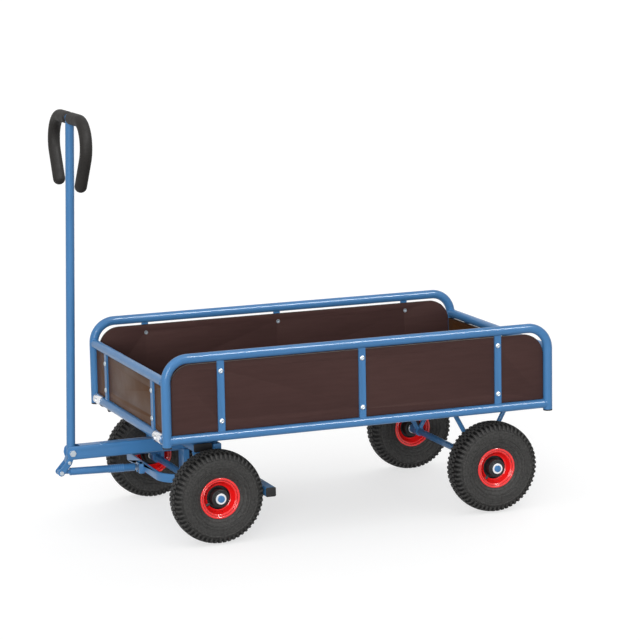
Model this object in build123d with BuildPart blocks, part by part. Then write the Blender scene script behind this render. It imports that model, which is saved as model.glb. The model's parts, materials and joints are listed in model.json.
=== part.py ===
from build123d import *
import os
from math import cos, radians, sin

# Four-wheeled hand cart: a walled load bed on a steered front bogie and a fixed rear axle,
# with an upright drawbar whose lever works a bar brake on the front tyres.
# Frame: +X forwards to the drawbar, +Y to the cart's left, +Z up, the floor at Z = 0.
# The origin lies on the floor under the middle of the whole cart. Sizes are in millimetres.

os.makedirs("parts", exist_ok=True)

# Clearances
REST_GAP = 0.05         # between pieces that are fixed together
RUN_GAP = 0.05          # radial, of a pin or shaft that turns in its hole
SIDE_PLAY = 0.3         # between the flat faces of pieces that move past each other

# Bed frame
TUBE_D = 27.0           # bent side tubes
TUBE_WALL = 2.0
RAIL_D = 26.0           # straight rails of the bed
BED_LENGTH = 1166.0     # between the axes of the front and rear corner tubes
BED_WIDTH = 684.0       # between the axes of the left and right side tubes
WALL_RISE = 226.0       # from the axis of the bottom rails to the axis of the side tubes' top
BEND_R = 63.0           # axis radius of the bent corners
FOOT_DROP = 17.0        # tube ends below the axis of the bottom rails
PLUG_LIP = 4.0
PLUG_DEPTH = 18.0

# Walls
PANEL_T = 10.0
PANEL_GAP = 0.5
PANEL_TOP_GAP = 5.0     # free strip under the side tubes
PANEL_CORNER_R = 62.0
BAR_W = 20.0
BAR_T = 6.0
SIDE_BAR_PITCH = 423.0
END_BAR_SPREAD = 442.0  # between the two upright bars of an end wall
BOLT_INSET = 42.0       # panel bolts from the axes of the rails
BOLT_D = 8.0
BOLT_HEAD_D = 15.5
BOLT_HEAD_H = 4.0
SLEEVE_NUT_D = 12.0
SLEEVE_NUT_L = 7.0
CLIP_L = 62.0
CLIP_T = 3.0
CLIP_OFFSET = 56.0      # middle of a clip from the corner tube's axis
CLIP_SCREW_D = 9.0
CLIP_SCREW_H = 4.0

# Deck and what carries it
DECK_T = 10.0
DECK_GAP = 1.0
BEARER_D = 27.0
BEARER_SPREAD = 450.0   # between the axes of the two bearers
BEARER_DROP = 12.0      # bearer axis below the axis of the bottom rails
BEARER_SETBACK = 6.0    # bearer ends behind the axes of the end rails
BEARER_PLUG_T = 3.0
CROSS_W = 40.0
CROSS_WALL = 2.0
CROSS_CORNER_R = 4.0
CROSS_SPREAD = 190.0    # between the two cross members over the turntable
KING_PLATE_W = 60.0
KING_PLATE_T = 10.0

# Wheels and axles
TYRE_D = 266.0
TYRE_W = 85.0
TREAD_W = 70.0
SHOULDER_DROP = 6.0     # crown radius less shoulder radius
TRACK = 610.0           # between the middles of the tyres
WHEELBASE = 850.0
FRONT_INSET = 152.0     # front axle behind the front corner tubes
TYRE_HEADROOM = 20.5    # from the tyres to the underside of the bearers
RIM_FLANGE_D = 117.0
RIM_SEAT_D = 102.0
RIM_W = 68.0
RIM_WALL = 2.5
RIM_HOLE_D = 68.0
RIM_FLAT_D = 73.0       # flat middle of a rim web, clamped on the hub's flange
RIM_SPLIT = 0.1
WEB_OFFSET = 15.0       # inner face of a rim web from the wheel's middle
HUB_L = 72.0
HUB_D = 48.0
HUB_FLANGE_D = 79.0
BEARING_D = 27.0
BEARING_L = 22.0
AXLE_D = 20.0
TUBE_RING_D = 64.0      # section of the inner tube
TUBE_RING_WALL = 3.0
VALVE_D = 7.0
VALVE_BORE = 3.0
VALVE_OFFSET = 21.0     # valve from the wheel's middle
VALVE_TIP_R = 32.0
FRONT_VALVE_TURN = 27.0  # valve below the horizontal, towards the front
REAR_VALVE_TURN = 46.0
COLLAR_D = 31.0
COLLAR_L = 5.0
COLLAR_CHAMFER = 0.5
WASHER_T = 2.5
AXLE_TIP = 3.0          # axle end outside its collar

# Rear axle stays
SLEEVE_D = 28.0
SLEEVE_REACH = 11.0     # sleeve inboard of the bearer's axis
STRUT_D = 14.0
STRUT_SPREAD = 184.0    # between the upper strut ends, at the bearer's axis

# Turntable and bogie
TURNTABLE_H = 13.5
RING_OD = 200.0
RING_ID = 116.0
RING_T = 4.0
BALL_D = 8.0
BALL_COUNT = 24
KING_D = 14.0
KING_HEAD_H = 9.0
KING_NUT_H = 12.0
HEX_RATIO = 1.65        # corner diameter of a bolt's hexagon over its shank diameter
CROSSBEAM_TYRE_GAP = 16.5  # from its caps to the tyres
CROSSBEAM_W = 54.0
CROSSBEAM_H = 24.0
CROSSBEAM_WALL = 3.0
CROSSBEAM_CORNER_R = 5.0
CROSSBEAM_AHEAD = 43.0  # its front face ahead of the axle
CROSSBEAM_CAP_T = 3.0
CROSSBEAM_CAP_DEPTH = 12.0
REAR_BAR_W = 24.0
REAR_BAR_H = 19.0
REAR_BAR_DROP = 5.0     # its top below the top of the crossbeam
REAR_BAR_CORNER_R = 2.0
BOGIE_TAIL = 40.0       # rear end of the bogie behind the axle
LEG_T = 6.0
LEG_INSET = 14.0        # middle of a leg from the end of the crossbeam
LEG_AHEAD = 43.0        # front edge of the legs' tops ahead of the axle
LEG_BOSS_D = 30.0
STAY_W = 50.0
STAY_T = 16.0
STAY_SETBACK = 8.0      # middle stay behind the axle

# Tow beam and drawbar
BEAM_H = 40.0
BEAM_WALL = 3.0
BEAM_CORNER_R = 5.0
PIVOT_AHEAD = 331.0     # drawbar pivot ahead of the front axle
FORK_NOSE = 15.0        # beam ahead of the pivot
FORK_DEPTH = 23.0       # open fork behind the pivot
FORK_CORNER_R = 14.5
PIVOT_D = 12.0
PIVOT_HEAD_H = 6.0
DRAWBAR_D = 25.0
DRAWBAR_WALL = 2.0
DRAWBAR_LEAN = 1.8      # degrees, backwards
DRAWBAR_FOOT = 15.0     # tube below the pivot
TONGUE_T = 20.0         # flat tongue of the drawbar's foot, held by the stop bolt
TONGUE_D = 18.0
HANDLE_REACH = 955.0    # from the pivot to the axis of the handle's top
HANDLE_D = 22.0
HANDLE_TOP = 428.0      # between the corners where the top and the arms would meet
HANDLE_BEND_R = 71.0
HANDLE_TIP_SPREAD = 219.0
HANDLE_ARM_H = 181.0    # tips of the arms below the top
GRIP_D = 35.0
GRIP_GAP = 0.5          # between the grips and the drawbar tube
LEVER_FORWARD = 33.5    # rod pin ahead of the pivot
LEVER_DOWN = 55.0       # rod pin below the pivot
LEVER_W = 19.0          # at the rod pin
LEVER_HEAD_D = 34.0     # round head of the lever plates on the pivot
LEVER_NECK_W = 17.0     # between the head and the stop bolt
LEVER_T = 3.0
STOP_FORWARD = 9.5
STOP_DOWN = 27.0
STOP_D = 6.0
STOP_HEAD_D = 10.0
STOP_SPACER_D = 10.0
STOP_HEAD_H = 4.0
PIN_D = 8.0
PIN_HEAD_H = 5.0
PIN_NUT_H = 7.0
PIN_THREAD = 3.0

# Brake
BRAKE_GAP = 1.4         # from the tyres to the brake bar, drawbar upright
BRAKE_BAR_W = 30.0
BRAKE_BAR_H = 27.0
BRAKE_BAR_WALL = 2.0
BRAKE_BAR_CORNER_R = 4.0
BRAKE_BAR_INSET = 7.5   # ends of the bar inside the tyres' outer faces
BRAKE_BAR_RAISE = 3.5   # above the axle
BRAKE_CAP_T = 3.0
BRAKE_CAP_DEPTH = 12.0
BOW_T = 8.0
BOW_H = 25.0
BOW_AHEAD = 117.5       # front of the bow ahead of the axle
BOW_LEG_GAP = 26.0      # between the middles of a bow's arm and of a leg
BOW_BEND_R = 70.0
BOW_RAISE = 35.0        # above the axle
HANGER_W = 15.0         # hangers of the brake bar, along the cart
GUIDE_L = 10.0
GUIDE_SETBACK = 6.0     # middle of a guide behind the axle
GUIDE_WALL = 3.0
GUIDE_GAP = 0.4
FORK_PLATE_T = 3.0
FORK_PLATE_W = 36.0
FORK_RISE = 12.0        # fork plate above the stud's axis
FORK_FALL = 17.0        # fork plate below the stud's axis
FORK_PLAY = 1.3         # on each side of the fork plate, along the rod
STUD_D = 10.0
STUD_SIDE_GAP = 0.5
STUD_BELOW_BOW = 2.0
END_NUT_T = 6.0
END_NUT_D = 17.0
LOCK_NUT_L = 9.0
LOCK_NUT_D = 17.0
ROD_D = 22.0
ROD_WALL = 2.0
ROD_START = 28.0        # rod tube behind the rod pin
ROD_END_WALL = 6.0
NECK_H = 11.0
NECK_T = 8.0
EYE_D = 16.0

# Heights, from the floor up
axle_z = TYRE_D / 2
bearer_under = TYRE_D + TYRE_HEADROOM
bearer_z = bearer_under + BEARER_D / 2
rail_z = bearer_z + BEARER_DROP
top_z = rail_z + WALL_RISE
end_top_z = top_z - BEND_R
foot_z = rail_z - FOOT_DROP
deck_under = bearer_under + BEARER_D
panel_foot = max(rail_z + RAIL_D / 2, deck_under) + PANEL_GAP
panel_top = top_z - TUBE_D / 2 - PANEL_TOP_GAP
crossbeam_top = bearer_under - TURNTABLE_H
crossbeam_under = crossbeam_top - CROSSBEAM_H
pivot_z = crossbeam_under - BEAM_H / 2
ball_z = crossbeam_top + TURNTABLE_H / 2
bow_z = axle_z + BOW_RAISE
brake_bar_z = axle_z + BRAKE_BAR_RAISE
brake_bar_top = brake_bar_z + BRAKE_BAR_H / 2

# Places along the cart, set so that the origin is under the middle of its whole length
clip_reach = BED_LENGTH / 2 + RAIL_D / 2 + REST_GAP + CLIP_T + CLIP_SCREW_H
nose_reach = max(LEVER_FORWARD + LEVER_W / 2, FORK_NOSE)
lever_reach = BED_LENGTH / 2 - FRONT_INSET + PIVOT_AHEAD + nose_reach
bed_x = (clip_reach - lever_reach) / 2
front_x = bed_x + BED_LENGTH / 2
rear_x = bed_x - BED_LENGTH / 2
axle_x = front_x - FRONT_INSET
rear_axle_x = axle_x - WHEELBASE
pivot_x = axle_x + PIVOT_AHEAD
pin_x = pivot_x + LEVER_FORWARD
pin_z = pivot_z - LEVER_DOWN
stop_x = pivot_x + STOP_FORWARD
stop_z = pivot_z - STOP_DOWN
bow_x = axle_x + BOW_AHEAD
brake_bar_x = axle_x - TYRE_D / 2 - BRAKE_GAP - BRAKE_BAR_W / 2

# Places across the cart
side_y = BED_WIDTH / 2
bearer_y = BEARER_SPREAD / 2
wheel_y = TRACK / 2
hub_inner_y = wheel_y - HUB_L / 2
hub_outer_y = wheel_y + HUB_L / 2
washer_y = hub_inner_y - SIDE_PLAY - WASHER_T
collar_y = hub_outer_y + SIDE_PLAY
axle_tip_y = collar_y + COLLAR_L + AXLE_TIP
crossbeam_end_y = wheel_y - TYRE_W / 2 - CROSSBEAM_TYRE_GAP - CROSSBEAM_CAP_T
leg_y = crossbeam_end_y - LEG_INSET
bow_y = leg_y - BOW_LEG_GAP
brake_bar_end_y = wheel_y + TYRE_W / 2 - BRAKE_BAR_INSET
lever_in_y = DRAWBAR_D / 2 + REST_GAP
lever_out_y = lever_in_y + LEVER_T
fork_in_y = lever_out_y + SIDE_PLAY
beam_w = 2 * (fork_in_y + BEAM_WALL)
panel_out_y = side_y - BAR_T / 2
grip_start = DRAWBAR_D / 2 + GRIP_GAP

corners = [(x, y) for x in (front_x, rear_x) for y in (side_y, -side_y)]
FROM_BASE = (Align.CENTER, Align.CENTER, Align.MIN)


def side_plane(y):
    """Upright plane along the cart: sketch x is X and sketch y is Z."""
    return Plane(origin=(0, y, 0), x_dir=(1, 0, 0), z_dir=(0, -1, 0))


def cross_plane(x):
    """Upright plane across the cart: sketch x is Y and sketch y is Z."""
    return Plane(origin=(x, 0, 0), x_dir=(0, 1, 0), z_dir=(1, 0, 0))


def facing(point, direction):
    """Place at a point whose own Z axis points in the direction."""
    return Plane(origin=point, z_dir=direction)


def rail_cut(radius, point, direction, length):
    """Take a long round bar, centred on the point, out of the part."""
    with Locations(facing(point, direction)):
        Cylinder(radius, length, mode=Mode.SUBTRACT)


# Side tubes of the bed
with BuildPart() as side_tube_left:
    with BuildLine():
        FilletPolyline(
            (front_x, side_y, foot_z), (front_x, side_y, top_z),
            (rear_x, side_y, top_z), (rear_x, side_y, foot_z), radius=BEND_R,
        )
    with BuildSketch(Plane.XY.offset(foot_z)):
        with Locations((front_x, side_y)):
            Circle(TUBE_D / 2)
            Circle(TUBE_D / 2 - TUBE_WALL, mode=Mode.SUBTRACT)
    sweep()
side_tube_left.part.label = "side_tube_left"
export_step(side_tube_left.part, "parts/side_tube_left.step")

with BuildPart() as side_tube_right:
    add(side_tube_left.part.mirror(Plane.XZ))
side_tube_right.part.label = "side_tube_right"
export_step(side_tube_right.part, "parts/side_tube_right.step")

# Bottom rails of the sides, shaped to the corner tubes
with BuildPart() as side_rails:
    with BuildSketch(cross_plane(rear_x)):
        with Locations((side_y, rail_z), (-side_y, rail_z)):
            Circle(RAIL_D / 2)
            Circle(RAIL_D / 2 - TUBE_WALL, mode=Mode.SUBTRACT)
    extrude(amount=BED_LENGTH)
    for corner in corners:
        rail_cut(TUBE_D / 2, (*corner, rail_z), (0, 0, 1), 2 * RAIL_D)
side_rails.part.label = "side_rails"
export_step(side_rails.part, "parts/side_rails.step")

# Top and bottom rails of both ends, shaped to the corner tubes and the side rails
with BuildPart() as end_rails:
    with BuildSketch(side_plane(0)):
        with Locations(*[(x, z) for x in (front_x, rear_x) for z in (rail_z, end_top_z)]):
            Circle(RAIL_D / 2)
            Circle(RAIL_D / 2 - TUBE_WALL, mode=Mode.SUBTRACT)
    extrude(amount=side_y, both=True)
    for corner in corners:
        rail_cut(TUBE_D / 2, (*corner, (rail_z + end_top_z) / 2), (0, 0, 1), 2 * WALL_RISE)
    for y in (side_y, -side_y):
        rail_cut(RAIL_D / 2, (bed_x, y, rail_z), (1, 0, 0), 2 * BED_LENGTH)
        for x in (front_x - BEND_R, rear_x + BEND_R):
            with Locations(facing((x, y, top_z - BEND_R), (0, 1, 0))):
                Torus(BEND_R, TUBE_D / 2, mode=Mode.SUBTRACT)
end_rails.part.label = "end_rails"
export_step(end_rails.part, "parts/end_rails.step")

# Upright flat bars of the walls, welded between the rails
side_bars = [(bed_x + step * SIDE_BAR_PITCH, side) for side in (1, -1) for step in (1, 0, -1)]
end_bars = [(end, y) for end in (1, -1) for y in (END_BAR_SPREAD / 2, -END_BAR_SPREAD / 2)]
panel_out_x = BED_LENGTH / 2 - BAR_T / 2
bolt_foot = rail_z + BOLT_INSET

# Panel bolts, each a point on the outer face of its panel and the way out of the cart
bolt_places = [
    ((x, side * panel_out_y, z), (0, side, 0))
    for x, side in side_bars
    for z in (bolt_foot, top_z - BOLT_INSET)
] + [
    ((bed_x + end * panel_out_x, y, z), (end, 0, 0))
    for end, y in end_bars
    for z in (bolt_foot, end_top_z - BOLT_INSET)
]

with BuildPart() as wall_bars:
    for x, side in side_bars:
        with Locations((x, side * side_y, rail_z)):
            Box(BAR_W, BAR_T, WALL_RISE, align=FROM_BASE)
    for end, y in end_bars:
        with Locations((bed_x + end * BED_LENGTH / 2, y, rail_z)):
            Box(BAR_T, BAR_W, end_top_z - rail_z, align=FROM_BASE)
    for side in (1, -1):
        rail_cut(RAIL_D / 2, (bed_x, side * side_y, rail_z), (1, 0, 0), 2 * BED_LENGTH)
        rail_cut(TUBE_D / 2, (bed_x, side * side_y, top_z), (1, 0, 0), 2 * BED_LENGTH)
    for x in (front_x, rear_x):
        rail_cut(RAIL_D / 2, (x, 0, rail_z), (0, 1, 0), 2 * BED_WIDTH)
        rail_cut(RAIL_D / 2, (x, 0, end_top_z), (0, 1, 0), 2 * BED_WIDTH)
    for point, outwards in bolt_places:
        rail_cut(BOLT_D / 2 + REST_GAP, point, outwards, 4 * BAR_T)
wall_bars.part.label = "wall_bars"
export_step(wall_bars.part, "parts/wall_bars.step")


def bolt_holes():
    """Bore each panel bolt's hole, wider on the inside for its sleeve nut."""
    for point, outwards in bolt_places:
        rail_cut(BOLT_D / 2 + REST_GAP, point, outwards, 4 * PANEL_T)
        inner_face = Vector(*point) - Vector(*outwards) * PANEL_T
        rail_cut(SLEEVE_NUT_D / 2 + REST_GAP, inner_face, outwards, 2 * (SLEEVE_NUT_L + REST_GAP))


# Panels of coated plywood inside the bars
panel_half_l = BED_LENGTH / 2 - TUBE_D / 2 - PANEL_GAP
panel_half_w = BED_WIDTH / 2 - TUBE_D / 2 - PANEL_GAP
for label, side in (("side_panel_left", 1), ("side_panel_right", -1)):
    with BuildPart() as side_panel:
        with BuildSketch(side_plane(side * (panel_out_y - PANEL_T / 2))):
            with Locations((bed_x, panel_foot)):
                Rectangle(2 * panel_half_l, panel_top - panel_foot, align=(Align.CENTER, Align.MIN))
        extrude(amount=PANEL_T / 2, both=True)
        fillet(side_panel.edges().filter_by(Axis.Y).group_by(Axis.Z)[-1], radius=PANEL_CORNER_R)
        bolt_holes()
    side_panel.part.label = label
    export_step(side_panel.part, f"parts/{label}.step")

for label, end in (("front_panel", 1), ("rear_panel", -1)):
    with BuildPart() as end_panel:
        with BuildSketch(cross_plane(bed_x + end * (panel_out_x - PANEL_T / 2))):
            with Locations((0, panel_foot)):
                Rectangle(
                    2 * panel_half_w, end_top_z - RAIL_D / 2 - PANEL_GAP - panel_foot,
                    align=(Align.CENTER, Align.MIN),
                )
        extrude(amount=PANEL_T / 2, both=True)
        bolt_holes()
    end_panel.part.label = label
    export_step(end_panel.part, f"parts/{label}.step")

# Panel bolts with domed heads outside and sleeve nuts flush with the inside
with BuildPart() as panel_bolts:
    for point, outwards in bolt_places:
        face = Vector(*point) + Vector(*outwards) * BAR_T
        with Locations(facing(face, outwards)):
            Cylinder(BOLT_HEAD_D / 2, BOLT_HEAD_H / 2, align=FROM_BASE)
        with Locations(facing(face + Vector(*outwards) * BOLT_HEAD_H / 2, outwards)):
            Cone(BOLT_HEAD_D / 2, BOLT_HEAD_D / 4, BOLT_HEAD_H / 2, align=FROM_BASE)
        inner_face = Vector(*point) - Vector(*outwards) * PANEL_T
        shank_l = BAR_T + PANEL_T - SLEEVE_NUT_L
        with Locations(facing(inner_face + Vector(*outwards) * SLEEVE_NUT_L, outwards)):
            Cylinder(BOLT_D / 2, shank_l, align=FROM_BASE)
        with Locations(facing(inner_face, outwards)):
            Cylinder(SLEEVE_NUT_D / 2, SLEEVE_NUT_L, align=FROM_BASE)
panel_bolts.part.label = "panel_bolts"
export_step(panel_bolts.part, "parts/panel_bolts.step")

# Zinc clips round the outside of the end bottom rails, each with its screw
clip_y = side_y - CLIP_OFFSET
clip_in_r = RAIL_D / 2 + REST_GAP
with BuildPart() as wall_clips:
    for end in (1, -1):
        rail_x = bed_x + end * BED_LENGTH / 2
        for y in (clip_y, -clip_y):
            with BuildSketch(side_plane(y)):
                with Locations((rail_x, rail_z)):
                    Circle(clip_in_r + CLIP_T)
                    Circle(clip_in_r, mode=Mode.SUBTRACT)
                with Locations((rail_x - end * TUBE_D, rail_z)):
                    Rectangle(2 * TUBE_D, 3 * TUBE_D, mode=Mode.SUBTRACT)
            extrude(amount=CLIP_L / 2, both=True)
            with Locations(facing((rail_x + end * (clip_in_r + CLIP_T / 2), y, rail_z), (end, 0, 0))):
                Cylinder(CLIP_SCREW_D / 2, CLIP_T / 2 + CLIP_SCREW_H, align=FROM_BASE)
wall_clips.part.label = "wall_clips"
export_step(wall_clips.part, "parts/wall_clips.step")

# Deck board
with BuildPart() as deck_board:
    with BuildSketch(Plane.XY.offset(deck_under)):
        with Locations((bed_x, 0)):
            Rectangle(
                BED_LENGTH - max(TUBE_D, 2 * PANEL_T + BAR_T) - 2 * DECK_GAP,
                BED_WIDTH - max(TUBE_D, 2 * PANEL_T + BAR_T) - 2 * DECK_GAP,
            )
    extrude(amount=DECK_T)
deck_board.part.label = "deck_board"
export_step(deck_board.part, "parts/deck_board.step")

# Lengthways bearers under the deck, shaped to the end rails
bearer_half_l = BED_LENGTH / 2 - BEARER_SETBACK
with BuildPart() as deck_bearers:
    with BuildSketch(cross_plane(bed_x)):
        with Locations((bearer_y, bearer_z), (-bearer_y, bearer_z)):
            Circle(BEARER_D / 2)
            Circle(BEARER_D / 2 - TUBE_WALL, mode=Mode.SUBTRACT)
    extrude(amount=bearer_half_l, both=True)
    for x in (front_x, rear_x):
        rail_cut(RAIL_D / 2 + REST_GAP, (x, 0, rail_z), (0, 1, 0), 2 * BED_WIDTH)
deck_bearers.part.label = "deck_bearers"
export_step(deck_bearers.part, "parts/deck_bearers.step")

# Black plugs in the feet of the side tubes and on the ends of the bearers
with BuildPart() as tube_plugs:
    for corner in corners:
        with Locations((*corner, foot_z - PLUG_LIP)):
            Cylinder(TUBE_D / 2, PLUG_LIP, align=FROM_BASE)
            Cylinder(TUBE_D / 2 - TUBE_WALL - REST_GAP, PLUG_LIP + PLUG_DEPTH, align=FROM_BASE)
    for end in (1, -1):
        for y in (bearer_y, -bearer_y):
            with Locations(facing((bed_x + end * bearer_half_l, y, bearer_z), (end, 0, 0))):
                Cylinder(BEARER_D / 2, BEARER_PLUG_T, align=FROM_BASE)
    for x in (front_x, rear_x):
        rail_cut(RAIL_D / 2 + REST_GAP, (x, 0, rail_z), (0, 1, 0), BEARER_SPREAD + 2 * BEARER_D)
tube_plugs.part.label = "tube_plugs"
export_step(tube_plugs.part, "parts/tube_plugs.step")

# Cross members between the bearers, and the plate that holds the king bolt
cross_places = [axle_x + CROSS_SPREAD / 2, axle_x - CROSS_SPREAD / 2, bed_x, rear_axle_x]
with BuildPart() as deck_crossmembers:
    with BuildSketch(side_plane(0)):
        with Locations(*[(x, bearer_z) for x in cross_places]):
            RectangleRounded(CROSS_W, BEARER_D, CROSS_CORNER_R)
            RectangleRounded(
                CROSS_W - 2 * CROSS_WALL, BEARER_D - 2 * CROSS_WALL, CROSS_CORNER_R - CROSS_WALL,
                mode=Mode.SUBTRACT,
            )
    extrude(amount=BEARER_SPREAD / 2, both=True)
    with Locations((axle_x, 0, bearer_under)):
        Box(KING_PLATE_W, BEARER_SPREAD, KING_PLATE_T, align=FROM_BASE)
    for y in (bearer_y, -bearer_y):
        rail_cut(BEARER_D / 2 + REST_GAP, (bed_x, y, bearer_z), (1, 0, 0), 2 * BED_LENGTH)
    rail_cut(KING_D / 2 + REST_GAP, (axle_x, 0, bearer_under), (0, 0, 1), 4 * KING_PLATE_T)
deck_crossmembers.part.label = "deck_crossmembers"
export_step(deck_crossmembers.part, "parts/deck_crossmembers.step")

# Ball turntable: two rings with a ball groove between them
groove_r = (RING_OD + RING_ID) / 4
for label, base_z in (
    ("turntable_upper_ring", bearer_under - RING_T),
    ("turntable_lower_ring", crossbeam_top),
):
    with BuildPart() as ring:
        with BuildSketch(Plane.XY.offset(base_z)):
            with Locations((axle_x, 0)):
                Circle(RING_OD / 2)
                Circle(RING_ID / 2, mode=Mode.SUBTRACT)
        extrude(amount=RING_T)
        with Locations((axle_x, 0, ball_z)):
            Torus(groove_r, BALL_D / 2 + RUN_GAP, mode=Mode.SUBTRACT)
    ring.part.label = label
    export_step(ring.part, f"parts/{label}.step")

with BuildPart() as turntable_balls:
    with Locations((axle_x, 0, ball_z)):
        with PolarLocations(groove_r, BALL_COUNT):
            Sphere(BALL_D / 2)
turntable_balls.part.label = "turntable_balls"
export_step(turntable_balls.part, "parts/turntable_balls.step")

# King bolt, from the king plate down into the tow beam
king_top = bearer_under + KING_PLATE_T
king_nut_top = crossbeam_under - BEAM_WALL - SIDE_PLAY
king_hex_r = KING_D * HEX_RATIO / 2
with BuildPart() as king_bolt:
    with BuildSketch(Plane.XY.offset(king_top)):
        with Locations((axle_x, 0)):
            RegularPolygon(king_hex_r, 6)
    extrude(amount=KING_HEAD_H)
    with Locations((axle_x, 0, king_nut_top - KING_NUT_H)):
        Cylinder(KING_D / 2, king_top - king_nut_top + KING_NUT_H, align=FROM_BASE)
    with BuildSketch(Plane.XY.offset(king_nut_top)):
        with Locations((axle_x, 0)):
            RegularPolygon(king_hex_r, 6)
    extrude(amount=-KING_NUT_H)
king_bolt.part.label = "king_bolt"
export_step(king_bolt.part, "parts/king_bolt.step")

# Axles with their collars and washers, alike at the front and at the rear
guide_x = axle_x - GUIDE_SETBACK
guide_w = BOW_T + 2 * (GUIDE_GAP + GUIDE_WALL)
guide_top = bow_z + BOW_H / 2 + GUIDE_GAP + GUIDE_WALL

with BuildPart() as front_axle:
    with Locations(facing((axle_x, 0, axle_z), (0, 1, 0))):
        Cylinder(AXLE_D / 2, 2 * axle_tip_y)
    for y in (bow_y, -bow_y):
        with Locations((guide_x, y, axle_z)):
            Box(GUIDE_L, guide_w, guide_top - axle_z, align=FROM_BASE)
        with Locations((guide_x, y, bow_z)):
            Box(2 * GUIDE_L, BOW_T + 2 * GUIDE_GAP, BOW_H + 2 * GUIDE_GAP, mode=Mode.SUBTRACT)
front_axle.part.label = "front_axle"
export_step(front_axle.part, "parts/front_axle.step")

with BuildPart() as rear_axle:
    with Locations(facing((rear_axle_x, 0, axle_z), (0, 1, 0))):
        Cylinder(AXLE_D / 2, 2 * axle_tip_y)
rear_axle.part.label = "rear_axle"
export_step(rear_axle.part, "parts/rear_axle.step")

for label, x in (("front_axle_collars", axle_x), ("rear_axle_collars", rear_axle_x)):
    with BuildPart() as collars:
        for side in (1, -1):
            with Locations(facing((x, side * collar_y, axle_z), (0, side, 0))):
                Cylinder(COLLAR_D / 2, COLLAR_L, align=FROM_BASE)
            with Locations(facing((x, side * washer_y, axle_z), (0, side, 0))):
                Cylinder(COLLAR_D / 2, WASHER_T, align=FROM_BASE)
        rail_cut(AXLE_D / 2 + REST_GAP, (x, 0, axle_z), (0, 1, 0), 4 * axle_tip_y)
        outer_edges = collars.edges().filter_by(GeomType.CIRCLE).group_by(SortBy.RADIUS)[-1]
        chamfer(outer_edges, length=COLLAR_CHAMFER)
    collars.part.label = label
    export_step(collars.part, f"parts/{label}.step")

# Rear axle stays: a sleeve on the axle and two struts up to the bearer
with BuildPart() as rear_axle_stays:
    for side in (1, -1):
        sleeve_in = bearer_y - SLEEVE_REACH
        with Locations(facing((rear_axle_x, side * sleeve_in, axle_z), (0, side, 0))):
            Cylinder(SLEEVE_D / 2, washer_y - sleeve_in, align=FROM_BASE)
        for lean in (1, -1):
            foot = Vector(rear_axle_x, side * bearer_y, axle_z)
            head = Vector(rear_axle_x + lean * STRUT_SPREAD / 2, side * bearer_y, bearer_z)
            with Locations(facing(foot, head - foot)):
                Cylinder(STRUT_D / 2, (head - foot).length, align=FROM_BASE)
        rail_cut(BEARER_D / 2 + REST_GAP, (bed_x, side * bearer_y, bearer_z), (1, 0, 0), 2 * BED_LENGTH)
    rail_cut(AXLE_D / 2 + REST_GAP, (rear_axle_x, 0, axle_z), (0, 1, 0), 4 * axle_tip_y)
rear_axle_stays.part.label = "rear_axle_stays"
export_step(rear_axle_stays.part, "parts/rear_axle_stays.step")

# Bogie crossbeam, an open box section, and the solid bar behind it
with BuildPart() as bogie_crossbeam:
    with BuildSketch(side_plane(0)):
        with Locations((axle_x + CROSSBEAM_AHEAD - CROSSBEAM_W / 2, crossbeam_top - CROSSBEAM_H / 2)):
            RectangleRounded(CROSSBEAM_W, CROSSBEAM_H, CROSSBEAM_CORNER_R)
            RectangleRounded(
                CROSSBEAM_W - 2 * CROSSBEAM_WALL, CROSSBEAM_H - 2 * CROSSBEAM_WALL,
                CROSSBEAM_CORNER_R - CROSSBEAM_WALL, mode=Mode.SUBTRACT,
            )
        rear_bar_z = crossbeam_top - REAR_BAR_DROP - REAR_BAR_H / 2
        with Locations((axle_x - BOGIE_TAIL + REAR_BAR_W / 2, rear_bar_z)):
            RectangleRounded(REAR_BAR_W, REAR_BAR_H, REAR_BAR_CORNER_R)
    extrude(amount=crossbeam_end_y, both=True)
    rail_cut(KING_D / 2 + RUN_GAP, (axle_x, 0, crossbeam_top), (0, 0, 1), 4 * CROSSBEAM_H)
bogie_crossbeam.part.label = "bogie_crossbeam"
export_step(bogie_crossbeam.part, "parts/bogie_crossbeam.step")

# Black caps in the ends of the crossbeam
crossbeam_x = axle_x + CROSSBEAM_AHEAD - CROSSBEAM_W / 2
crossbeam_z = crossbeam_top - CROSSBEAM_H / 2
crossbeam_inset = 2 * (CROSSBEAM_WALL + REST_GAP)
with BuildPart() as crossbeam_caps:
    for side in (1, -1):
        with BuildSketch(side_plane(side * (crossbeam_end_y + CROSSBEAM_CAP_T / 2))):
            with Locations((crossbeam_x, crossbeam_z)):
                RectangleRounded(CROSSBEAM_W, CROSSBEAM_H, CROSSBEAM_CORNER_R)
        extrude(amount=CROSSBEAM_CAP_T / 2, both=True)
        with BuildSketch(side_plane(side * (crossbeam_end_y - CROSSBEAM_CAP_DEPTH / 2))):
            with Locations((crossbeam_x, crossbeam_z)):
                RectangleRounded(
                    CROSSBEAM_W - crossbeam_inset, CROSSBEAM_H - crossbeam_inset,
                    CROSSBEAM_CORNER_R - CROSSBEAM_WALL,
                )
        extrude(amount=CROSSBEAM_CAP_DEPTH / 2, both=True)
crossbeam_caps.part.label = "crossbeam_caps"
export_step(crossbeam_caps.part, "parts/crossbeam_caps.step")

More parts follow.
